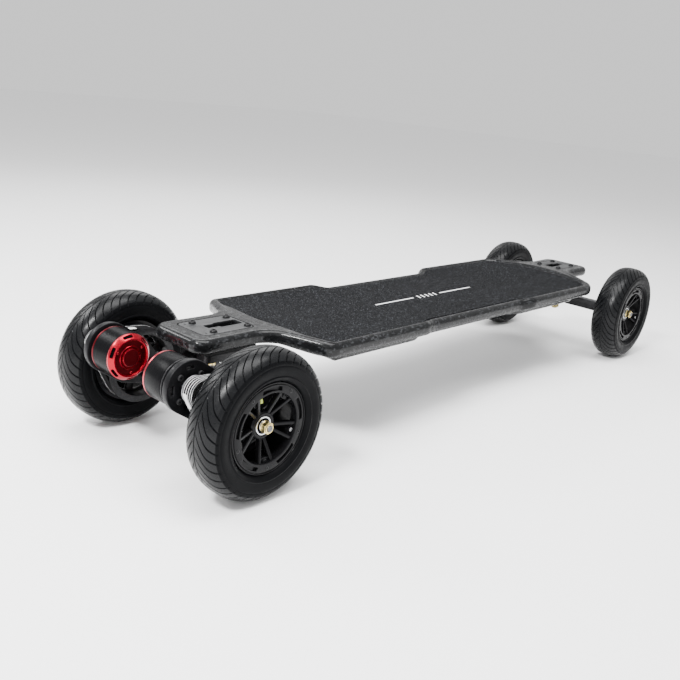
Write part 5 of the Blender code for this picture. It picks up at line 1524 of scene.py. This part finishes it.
def make_hub(end, side_name, side):
    """The cast hub: split rim, five double spokes, bearing boss, screws and valve."""
    node = "hub_%s_%s" % (end, side_name)
    body = "wheel_%s_%s" % (end, side_name)
    centre = middle_of(node)
    axis = Y_AXIS * side
    half = RIM_HALF
    rim = [(RIM_INNER, half - 1.2 * MM), (RIM_INNER + 0.6 * MM, half - 0.5 * MM),
           (43.6 * MM, half - 0.3 * MM), (51.2 * MM, half - 0.3 * MM), (51.8 * MM, half - 1.5 * MM),
           (52.5 * MM, half - 1.5 * MM), (52.9 * MM, half - 0.2 * MM), (53.6 * MM, half),
           (RIM_LIP, half - 0.7 * MM), (RIM_LIP, half - 2.4 * MM), (53.0 * MM, half - 3.2 * MM),
           (50.0 * MM, half - 4.6 * MM), (50.0 * MM, -half + 4.6 * MM), (53.0 * MM, -half + 3.2 * MM),
           (RIM_LIP, -half + 2.4 * MM), (RIM_LIP, -half + 0.7 * MM), (53.6 * MM, -half),
           (47.2 * MM, -half), (46.6 * MM, -half + 0.6 * MM), (46.6 * MM, 8.0 * MM), (RIM_INNER, 9.5 * MM)]
    hub = wheel_turned("hub_casting_%s_%s" % (end, side_name), rim, "hub", centre, side, 128)
    step = math.tau / SPOKE_PAIRS
    phases = [SPOKE_PHASE - pair * step for pair in range(SPOKE_PAIRS)]
    for phase in phases:
        low, high = phase + 0.34, phase + step - 0.34
        loop = arc((0.0, 0.0), 49.4 * MM, low, high, 16)
        loop += arc((0.0, 0.0), 44.6 * MM, high + 0.04, low - 0.04, 16)
        loop = rounded_outline(loop, 0.8 * MM, 2)
        cut(hub, upright_prism("groove", [loop], side * (half - 3.4 * MM), side * (half + 1.0 * MM), "hub",
                               centre))
    round_edges(hub, 0.35 * MM, 2, 50.0)
    pieces = [hub]
    bar = rounded_rectangle((-2.1 * MM, -3.2 * MM), (2.1 * MM, 3.2 * MM), 1.0 * MM, 3)
    for phase in phases:
        for lean in (-1.0, 1.0):
            start = wheel_point(centre, side, 15.2 * MM, phase + lean * 0.17, 6.0 * MM)
            stop = wheel_point(centre, side, 43.2 * MM, phase + lean * 0.22, 14.6 * MM)
            path = [start.lerp(stop, part) for part in steps(0.0, 1.0, 0.2)]
            pieces.append(sweep("spoke", path, bar, axis, "hub"))
        corners = [(radius * MM * math.cos(phase + turn), radius * MM * math.sin(phase + turn))
                   for radius, turn in GUSSET_CORNERS]
        gusset = rounded_outline(corners, 1.5 * MM, 3)
        pieces.append(upright_prism("gusset", [gusset], side * 9.2 * MM, side * 14.6 * MM, "hub", centre))
    boss = [(11.1 * MM, -10.0 * MM), (16.2 * MM, -10.0 * MM), (BOSS_RADIUS, -9.2 * MM),
            (BOSS_RADIUS, 7.6 * MM), (15.6 * MM, 9.4 * MM), (14.8 * MM, 10.0 * MM),
            (12.6 * MM, 10.0 * MM), (12.0 * MM, 9.4 * MM), (11.1 * MM, 9.4 * MM)]
    pieces.append(wheel_turned("boss", boss, "hub", centre, side, 64))
    place(merge(pieces, hub.name), body, "hub_casting", node)
    screws = []
    for pair, phase in enumerate(phases):
        spot = wheel_point(centre, side, 47.6 * MM, phase, 0.0)
        screws.append(small_screw(spot, axis, half - 0.5 * MM, 2.3 * MM, 0.5 * MM))
        spot = wheel_point(centre, side, 40.4 * MM, phase, 0.0)
        finish = "steel" if pair == BRIGHT_SCREW else "screw"
        screws.append(small_screw(spot, axis, 14.4 * MM, 2.4 * MM, 1.8 * MM, finish))
    place(merge(screws, "hub_screws_%s_%s" % (end, side_name)), body, "black_screws")
    make_valve(end, side_name, side, centre, body)


def make_valve(end, side_name, side, centre, body):
    """The tyre valve with its bright cap, between two spokes."""
    turn = VALVE_TURN[end, side_name]
    base = wheel_point(centre, side, 45.5 * MM, turn, 0.0)
    tip = wheel_point(centre, side, 26.5 * MM, turn, 6.0 * MM)
    inward = (tip - base).normalized()
    reach = (tip - base).length
    stem = [(0.0, -0.6 * MM), (4.2 * MM, -0.6 * MM), (4.0 * MM, 1.0 * MM), (2.8 * MM, 2.6 * MM),
            (2.5 * MM, reach * 0.45), (2.0 * MM, reach * 0.5), (2.0 * MM, reach * 0.7), (0.0, reach * 0.7)]
    stem = turned("stem", stem, "tyre", base, inward, 28)
    cap = [(0.0, reach * 0.45), (2.6 * MM, reach * 0.45), (3.0 * MM, reach * 0.5), (3.0 * MM, reach * 0.92),
           (2.3 * MM, reach), (0.0, reach)]
    cap = turned("cap", cap, "valve", base, inward, 12)
    place(merge([stem, cap], "valve_%s_%s" % (end, side_name)), body, "tyre_rubber")


def make_bearings(end, side_name, side):
    """Both ball bearings of a wheel, with their shields, and the spacer between them."""
    node = "bearings_%s_%s" % (end, side_name)
    centre = middle_of(node)
    body = "wheel_%s_%s" % (end, side_name)
    pieces = []
    outer = mm([(9.3, 3.2), (11.0, 3.2), (11.0, 9.6), (10.7, 9.95), (9.5, 9.95), (9.3, 9.7)])
    inner = mm([(4.35, 3.2), (6.2, 3.2), (6.2, 9.7), (6.0, 9.95), (4.6, 9.95), (4.35, 9.7)])
    shield = mm([(6.3, 4.0), (9.2, 4.0), (9.2, 9.3), (7.8, 9.45), (6.3, 9.3)])
    for face in (1.0, -1.0):
        for profile, finish in ((outer, "steel"), (inner, "steel"), (shield, "can")):
            pieces.append(wheel_turned("race", [(r, a * face) for r, a in profile], finish, centre, side, 56))
    spacer = mm([(4.35, -3.1), (6.0, -3.1), (6.0, 3.1), (4.35, 3.1)])
    pieces.append(wheel_turned("spacer", spacer, "steel", centre, side, 32))
    place(merge(pieces, "bearing_pair_%s_%s" % (end, side_name)), body, "axle_steel", node)


# ---------------------------------------------------------------- drive

MOTOR = Vector((-542.0 * MM, 0.0, 127.0 * MM))
CAN_RADIUS = 28.6 * MM
MOTOR_TEETH = 18
WHEEL_TEETH = 60
BELT_PITCH = 5.0 * MM
MOUNT_INNER = 74.3 * MM
MOUNT_OUTER = 82.3 * MM
MOUNT_RADIUS = 31.2 * MM
CLAMP_RADIUS = 20.0 * MM
STATOR_SLOTS = 12
STATOR_BASE = 67.0 * MM
CAN_BORE = 25.2 * MM
CAN_OUTER = 66.7 * MM
LEFT_CAN_INNER = 37.0 * MM
LEFT_CAP_FACE = 28.8 * MM
RIGHT_CAN_FACE = 34.3 * MM
CAP_HOLE = 4.3 * MM
CAP_SLOTS = 6
CAP_SLOT_PHASE = 0.63
CAP_SCREWS = 3
PULLEY_SPOKES = 6
PULLEY_PHASE = 0.35
PULLEY_BACK = -20.9 * MM
BELT_INNER = 90.0 * MM
BELT_OUTER = 104.5 * MM
BELT_LINES = {"right": (91.9 * MM, 95.5 * MM, 99.1 * MM, 102.7 * MM), "left": (103.4 * MM,)}
BELT_LINE_HALF = 0.26 * MM
BELT_LABELS = {"right": (0.10, 8), "left": (0.885, 5)}
LABEL_INNER = 0.8 * MM
LABEL_WIDTH = 7.6 * MM


def toothed(radius, teeth, depth, gap=0.46):
    """Outline of a toothed wheel, as points in the plane."""
    tooth_shape = ((-0.5 + gap / 2.0, 0.0), (-0.5 + gap, 0.0), (0.5 - gap, 0.0), (0.5 - gap * 0.72, 0.55),
                   (0.5 - gap * 0.45, 1.0), (0.5, 1.0))
    points = []
    for tooth in range(teeth):
        base = math.tau * tooth / teeth
        for part, drop in tooth_shape:
            turn = base + math.tau * part / teeth
            reach = radius - depth * drop
            points.append((reach * math.cos(turn), reach * math.sin(turn)))
    return points


def make_wheel_pulley(side_name, side):
    """The large toothed pulley with flanges, spokes and its adapter bolts."""
    node = "wheel_pulley_" + side_name
    centre = middle_of("hub_rear_" + side_name)
    axis = Y_AXIS * side
    outline = toothed(47.1 * MM, WHEEL_TEETH, 1.9 * MM)
    pieces = [upright_prism("teeth", [outline, circle((0.0, 0.0), 41.4 * MM, 96)], side * -43.8 * MM,
                            side * -27.3 * MM, "casting", centre)]
    for low, high in ((-27.5 * MM, PULLEY_BACK), (-44.3 * MM, -42.8 * MM)):
        flange = [(41.0 * MM, low), (48.4 * MM, low), (49.5 * MM, low + 0.5 * MM),
                  (49.5 * MM, high - 0.5 * MM), (48.9 * MM, high), (41.0 * MM, high)]
        pieces.append(wheel_turned("flange", flange, "casting", centre, side, 128))
    loops = [circle((0.0, 0.0), 42.5 * MM, 96), circle((0.0, 0.0), 19.0 * MM, 64)]
    step = math.tau / PULLEY_SPOKES
    turns = [step * spoke + PULLEY_PHASE for spoke in range(PULLEY_SPOKES)]
    for turn in turns:
        window = arc((0.0, 0.0), 38.5 * MM, turn + 0.14, turn + step - 0.14, 10)
        window += arc((0.0, 0.0), 27.0 * MM, turn + step - 0.20, turn + 0.20, 8)
        loops.append(rounded_outline(window, 2.0 * MM, 3))
    web = upright_prism("web", loops, side * PULLEY_BACK, side * (PULLEY_BACK - 4.0 * MM), "casting", centre)
    pieces.append(round_edges(web, 0.5 * MM, 2, 50.0))
    place(merge(pieces, "drive_pulley_" + side_name), "wheel_rear_" + side_name, "black_casting", node)
    spots = [wheel_point(centre, side, 23.0 * MM, turn, 0.0) for turn in turns]
    bolts = [small_screw(spot, -axis, 24.7 * MM, 2.7 * MM, 2.4 * MM) for spot in spots]
    place(merge(bolts, "drive_bolts_" + side_name), "wheel_rear_" + side_name, "black_screws")


def mount_loop():
    """Outline of a motor mount: round the motor, then drawn in at the axle."""
    axle = middle_of("axle_rear")
    along = Vector((axle.x - MOTOR.x, axle.z - MOTOR.z))
    tilt = math.atan2(along.y, along.x)
    outline = arc((MOTOR.x, MOTOR.z), MOUNT_RADIUS, tilt + QUARTER, tilt + 3.0 * QUARTER, 40)
    reach = Vector((MOTOR.x, MOTOR.z)) + along.normalized() * 42.0 * MM
    side = Vector((-math.sin(tilt), math.cos(tilt)))
    lower = reach - side * MOUNT_RADIUS
    upper = reach + side * MOUNT_RADIUS
    outline.append(tuple(lower))
    draw_in = math.radians(20.0)
    outline += arc((axle.x, axle.z), CLAMP_RADIUS, tilt - QUARTER + draw_in, tilt + QUARTER - draw_in, 20)
    outline.append(tuple(upper))
    return outline


def make_mount(side_name, side):
    """The chamfered plate clamped on a hanger arm, with motor screws and slots."""
    node = "motor_mount_" + side_name
    axle = middle_of("axle_rear")
    grow = 0.3 * MM
    hole = rounded_rectangle((axle.x - ARM_HALF_X - grow, axle.z - ARM_HALF_Z - grow),
                             (axle.x + ARM_HALF_X + grow, axle.z + ARM_HALF_Z + grow), 3.3 * MM)
    loops = [mount_loop(), hole, circle((MOTOR.x, MOTOR.z), 11.0 * MM, 48)]
    for index in range(4):
        turn = math.radians(90.0 * index)
        slot = arc((0.0, 0.0), 24.6 * MM, turn - 0.22, turn + 0.22, 8)
        slot += arc((0.0, 0.0), 21.6 * MM, turn + 0.22, turn - 0.22, 8)
        slot = rounded_outline(slot, 1.3 * MM, 3)
        loops.append([(MOTOR.x + x, MOTOR.z + z) for x, z in slot])
    mount = upright_prism("motor_plate_" + side_name, loops, side * MOUNT_INNER, side * MOUNT_OUTER, "mount")
    round_edges(mount, 1.1 * MM, 3, 50.0)
    place(mount, "rear_truck", "black_casting", node)
    screws = []
    axis = Y_AXIS * side
    for index in range(4):
        turn = math.radians(45.0 + 90.0 * index)
        spot = wheel_point(MOTOR, side, 19.5 * MM, turn, 0.0)
        screws.append(small_screw(spot, axis, MOUNT_OUTER - 0.3 * MM, 3.4 * MM, 2.6 * MM))
    tilt = math.atan2(axle.z - MOTOR.z, axle.x - MOTOR.x)
    clamp = Vector((math.cos(tilt), 0.0, math.sin(tilt)))
    across = Vector((-math.sin(tilt), 0.0, math.cos(tilt)))
    depth = (MOUNT_INNER + MOUNT_OUTER) / 2.0
    for lean in (-1.0, 1.0):
        base = Vector((axle.x, side * depth, axle.z)) + across * (lean * 13.6 * MM)
        screws.append(small_screw(base, clamp, 14.2 * MM, 2.7 * MM, 1.6 * MM))
    place(merge(screws, "mount_screws_" + side_name), "rear_truck", "black_screws")


def make_stator(side_name, side):
    """A motor's fixed half: its base (red on the left), laminated core with copper, and bearing tube."""
    node = "motor_stator_" + side_name
    axis = Y_AXIS * side
    base = STATOR_BASE
    section = [(5.0 * MM, 41.0 * MM), (8.0 * MM, 41.0 * MM), (8.0 * MM, base - 4.0 * MM),
               (14.0 * MM, base - 4.0 * MM), (14.0 * MM, base), (27.8 * MM, base),
               (CAN_RADIUS, base + 0.5 * MM), (CAN_RADIUS, base + 1.9 * MM),
               (27.9 * MM, base + 2.5 * MM), (25.0 * MM, base + 3.2 * MM), (20.4 * MM, MOUNT_INNER - 1.1 * MM),
               (20.0 * MM, MOUNT_INNER - 0.3 * MM), (5.0 * MM, MOUNT_INNER - 0.3 * MM)]
    pieces = [wheel_turned("base", section, "crimson" if side > 0.0 else "mount", MOTOR, side, 128)]
    loops = [toothed(24.2 * MM, STATOR_SLOTS, 11.0 * MM, 0.30), circle((0.0, 0.0), 8.0 * MM, 32)]
    pieces.append(upright_prism("core", loops, side * 44.0 * MM, side * (base - 4.5 * MM), "steel", MOTOR))
    coil = [(0.0, 41.2 * MM), (2.6 * MM, 41.2 * MM), (4.0 * MM, 43.0 * MM), (4.0 * MM, base - 6.0 * MM),
            (2.6 * MM, base - 4.2 * MM), (0.0, base - 4.2 * MM)]
    for slot in range(STATOR_SLOTS):
        turn = math.tau * (slot + 0.12) / STATOR_SLOTS
        spot = wheel_point(MOTOR, side, 17.5 * MM, turn, 0.0)
        pieces.append(turned("coil", coil, "copper", spot, axis, 16))
    place(merge(pieces, "motor_core_" + side_name), "rear_truck", "red_anodised", node)


def motor_turned(name, profile, finish, side):
    """A lathed ring of a motor, from points along the board's +Y or -Y."""
    return turned(name, profile, finish, MOTOR, Y_AXIS * side, 128, ring=True)


def make_left_rotor():
    """The black can and the red slotted end cap of the left motor, with painted shade in its slots."""
    inner, outer = LEFT_CAN_INNER, CAN_OUTER
    section = [(CAN_BORE, inner), (CAN_RADIUS - 0.3 * MM, inner), (CAN_RADIUS, inner + 0.3 * MM),
               (CAN_RADIUS, outer - 0.6 * MM), (CAN_RADIUS - 0.6 * MM, outer), (CAN_BORE, outer)]
    place(motor_turned("motor_tube_left", section, "can", 1.0), "rotor_left", "motor_black", "motor_can_left")
    back, face, hole = LEFT_CAN_INNER - 0.3 * MM, LEFT_CAP_FACE, CAP_HOLE
    section = [(hole, back), (CAN_RADIUS, back), (CAN_RADIUS, face + 5.6 * MM),
               (CAN_RADIUS - 0.4 * MM, face + 5.0 * MM), (CAN_RADIUS - 4.4 * MM, face + 0.6 * MM),
               (CAN_RADIUS - 5.2 * MM, face), (22.3 * MM, face),
               (21.8 * MM, face + 0.5 * MM), (21.4 * MM, face + 2.5 * MM), (14.6 * MM, face + 2.5 * MM),
               (14.2 * MM, face + 1.9 * MM), (13.0 * MM, face + 1.9 * MM), (12.6 * MM, face + 2.7 * MM),
               (11.4 * MM, face + 2.7 * MM), (11.0 * MM, face + 1.0 * MM), (10.3 * MM, face + 0.5 * MM),
               (hole + 1.4 * MM, face + 0.5 * MM), (hole + 0.9 * MM, face + 1.1 * MM), (hole, face + 1.1 * MM)]
    cap = motor_turned("motor_cap", section, "red", 1.0)
    slot_shade_fills = []
    for index in range(CAP_SLOTS):
        turn = math.tau * (index + CAP_SLOT_PHASE) / CAP_SLOTS
        out = Vector((math.cos(turn), 0.0, math.sin(turn)))
        around = Y_AXIS.cross(out)
        slope = out * 0.67 + Y_AXIS * 0.74
        spot = MOTOR + out * (CAN_RADIUS - 2.4 * MM) + Y_AXIS * (face + 2.8 * MM)
        outline = rounded_rectangle((-6.6 * MM, -2.0 * MM), (6.6 * MM, 2.0 * MM), 1.95 * MM)
        slot = prism("slot", [outline], -3.0 * MM, 3.0 * MM, "red", spot, around, slope)
        cut(cap, slot)
        # Each slot holds a dead-black sheet of painted shade, in place of the dark inside of the motor.
        outline = rounded_rectangle((-6.5 * MM, -1.9 * MM), (6.5 * MM, 1.9 * MM), 1.85 * MM)
        slot_shade_fills.append(prism("slot_shade", [outline], -2.9 * MM, -0.9 * MM, "recess", spot, around, slope))
    round_edges(cap, 0.3 * MM, 2, 40.0)
    dish = mm([(0.0, 0.4), (10.2, 0.4), (10.9, 0.9), (11.3, 2.6), (12.7, 2.6), (13.1, 1.8), (14.1, 1.8),
               (14.5, 2.4), (21.3, 2.4), (21.3, 3.2), (0.0, 3.2)], face)
    pieces = [cap, turned("dish", dish, "crimson", MOTOR, Y_AXIS, 96)] + slot_shade_fills
    screws = []
    for index in range(CAP_SCREWS):
        spot = wheel_point(MOTOR, 1.0, 19.0 * MM, math.tau * index / CAP_SCREWS + 0.6, 0.0)
        screws.append(small_screw(spot, -Y_AXIS, -face - 2.6 * MM, 1.6 * MM, 0.9 * MM, "red"))
    place(merge(pieces, "motor_cap_red"), "rotor_left", "red_anodised", "motor_cap_left")
    place(merge(screws, "motor_cap_screws"), "rotor_left", "red_anodised")


def make_right_rotor():
    """The right motor's black can with its thin red rim."""
    face, outer, bore, hole = RIGHT_CAN_FACE, CAN_OUTER, CAN_BORE, CAP_HOLE
    rim = 3.0 * MM
    band = [(24.0 * MM, face), (CAN_RADIUS - 0.9 * MM, face), (CAN_RADIUS - 0.2 * MM, face + 0.4 * MM),
            (CAN_RADIUS, face + 1.0 * MM), (CAN_RADIUS, face + rim), (24.0 * MM, face + rim)]
    tube = [(bore, face + rim + 0.1 * MM), (CAN_RADIUS - 0.2 * MM, face + rim + 0.1 * MM),
            (CAN_RADIUS - 0.05 * MM, face + rim + 0.4 * MM), (CAN_RADIUS - 0.05 * MM, outer - 0.6 * MM),
            (CAN_RADIUS - 0.6 * MM, outer), (bore, outer)]
    disc = [(hole, face + 1.0 * MM), (11.0 * MM, face + 1.0 * MM), (12.0 * MM, face + 2.2 * MM),
            (23.2 * MM, face + 2.2 * MM), (24.2 * MM, face + 0.4 * MM), (24.6 * MM, face + rim),
            (25.4 * MM, face + rim + 0.3 * MM), (hole, face + rim + 0.3 * MM)]
    pieces = [motor_turned("tube", tube, "can", -1.0), motor_turned("disc", disc, "red", -1.0),
              motor_turned("band", band, "red", -1.0)]
    place(merge(pieces, "motor_tube_right"), "rotor_right", "motor_black", "motor_can_right")


def make_motor_pulley(side_name, side):
    """A motor shaft with its small toothed pulley and flanges."""
    node = "motor_pulley_" + side_name
    low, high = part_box(node)
    start = low.y if side > 0.0 else -high.y
    inner, outer = 89.5 * MM, 104.9 * MM
    shaft = [(0.0, start), (3.6 * MM, start), (4.0 * MM, start + 0.4 * MM), (4.0 * MM, inner), (0.0, inner)]
    pieces = [turned("shaft", shaft, "steel", MOTOR, Y_AXIS * side, 40)]
    outline = toothed(13.7 * MM, MOTOR_TEETH, 1.9 * MM)
    pieces.append(upright_prism("teeth", [outline], side * (inner - 0.5 * MM), side * outer, "steel", MOTOR))
    flange = mm([(0.0, -1.5), (15.4, -1.5), (16.1, -1.0), (15.2, 0.0), (0.0, 0.0)], inner)
    pieces.append(turned("flange", flange, "seal", MOTOR, Y_AXIS * side, 64))
    flange = mm([(0.0, 0.0), (15.2, 0.0), (16.1, 0.6), (15.6, 1.0), (5.0, 1.0), (4.6, 0.6),
                 (0.0, 0.6)], outer)
    pieces.append(turned("flange", flange, "steel", MOTOR, Y_AXIS * side, 64))
    place(merge(pieces, "shaft_pulley_" + side_name), "rotor_" + side_name, "axle_steel", node)


def belt_path(small, large, spacing):
    """Points and outward normals round the belt, about that far apart."""
    axle = middle_of("axle_rear")
    motor = Vector((MOTOR.x, MOTOR.z))
    wheel = Vector((axle.x, axle.z))
    along = wheel - motor
    tilt = math.atan2(along.y, along.x)
    lean = math.asin((large - small) / along.length)
    first = tilt + QUARTER + lean
    last = tilt - QUARTER - lean + math.tau
    path = []
    for turn in steps(first, last, spacing / small):
        normal = Vector((math.cos(turn), math.sin(turn)))
        path.append((motor + normal * small, normal))
    lower = wheel + path[-1][1] * large
    count = max(1, round((lower - path[-1][0]).length / spacing))
    start = path[-1]
    path += [(start[0].lerp(lower, index / count), start[1]) for index in range(1, count)]
    for turn in steps(last - math.tau, first, spacing / large):
        normal = Vector((math.cos(turn), math.sin(turn)))
        path.append((wheel + normal * large, normal))
    upper = path[-1]
    top = motor + upper[1] * small
    count = max(1, round((top - upper[0]).length / spacing))
    path += [(upper[0].lerp(top, index / count), upper[1]) for index in range(1, count)]
    return path


def belt_strip(name, path, low, high, heights, finish):
    """A closed band that follows the belt, between two distances from the board's middle."""
    verts = []
    faces = []
    for index, (point, normal) in enumerate(path):
        inner, outer = heights(index)
        for y, reach in ((low, inner), (high, inner), (high, outer), (low, outer)):
            spot = point + normal * reach
            verts.append((spot.x, y, spot.y))
    count = len(path)
    for index in range(count):
        after = (index + 1) % count
        for corner in range(4):
            follow = (corner + 1) % 4
            faces.append([index * 4 + corner, after * 4 + corner, after * 4 + follow, index * 4 + follow])
    return add_mesh(name, verts, faces, finish, 40.0)


def make_belt(side_name, side):
    """The toothed belt, its printed lines and its plain label."""
    small = MOTOR_TEETH * BELT_PITCH / math.tau
    large = WHEEL_TEETH * BELT_PITCH / math.tau
    path = belt_path(small, large, BELT_PITCH / 4.0)
    low, high = sorted((side * BELT_INNER, side * BELT_OUTER))
    tooth = (0.55 * MM, 0.55 * MM, 0.0, 0.0)
    belt = belt_strip("belt_band_" + side_name, path, low, high,
                      lambda index: (tooth[index % 4], 1.55 * MM), "belt")
    place(belt, "rear_truck", "belt_rubber", "belt_" + side_name)
    lines = []
    for across in BELT_LINES[side_name]:
        ends = sorted((side * (across - BELT_LINE_HALF), side * (across + BELT_LINE_HALF)))
        lines.append(belt_strip("line", path, *ends, lambda index: (1.50 * MM, 1.60 * MM), "print"))
    place(merge(lines, "belt_lines_" + side_name), "rear_truck", "belt_rubber")
    middle, half_length = BELT_LABELS[side_name]
    start = int(middle * len(path))
    chosen = [path[(start + offset) % len(path)] for offset in range(-half_length, half_length + 1)]
    near, far = side * (BELT_INNER + LABEL_INNER), side * (BELT_INNER + LABEL_WIDTH)
    verts = []
    for point, normal in chosen:
        for y, reach in ((near, 1.50 * MM), (far, 1.50 * MM), (far, 1.66 * MM), (near, 1.66 * MM)):
            spot = point + normal * reach
            verts.append((spot.x, y, spot.y))
    faces = [[0, 1, 2, 3], [len(verts) - 4 + corner for corner in (3, 2, 1, 0)]]
    for index in range(len(chosen) - 1):
        for corner in range(4):
            follow = (corner + 1) % 4
            base = index * 4
            faces.append([base + corner, base + follow, base + 4 + follow, base + 4 + corner])
    label = add_mesh("belt_label_" + side_name, verts, faces, "label", 40.0)
    place(label, "rear_truck", "belt_rubber")


# ---------------------------------------------------------------- assembly

make_deck()
make_grip()
make_plates()
make_deck_bolts()
make_lid()
make_button()
make_socket()
make_battery()
make_controller()
for end, sign in ENDS:
    make_riser(end)
    make_baseplate(end, sign)
    make_kingpin(end, sign)
    make_bushings(end, sign)
    make_hanger(end, sign)
    make_axle(end)
    for side_name, side in SIDES:
        make_tyre(end, side_name)
        make_hub(end, side_name, side)
        make_bearings(end, side_name, side)
for side_name, side in SIDES:
    make_wheel_pulley(side_name, side)
    make_mount(side_name, side)
    make_stator(side_name, side)
    make_motor_pulley(side_name, side)
    make_belt(side_name, side)
make_left_rotor()
make_right_rotor()
make_camera()
make_studio()
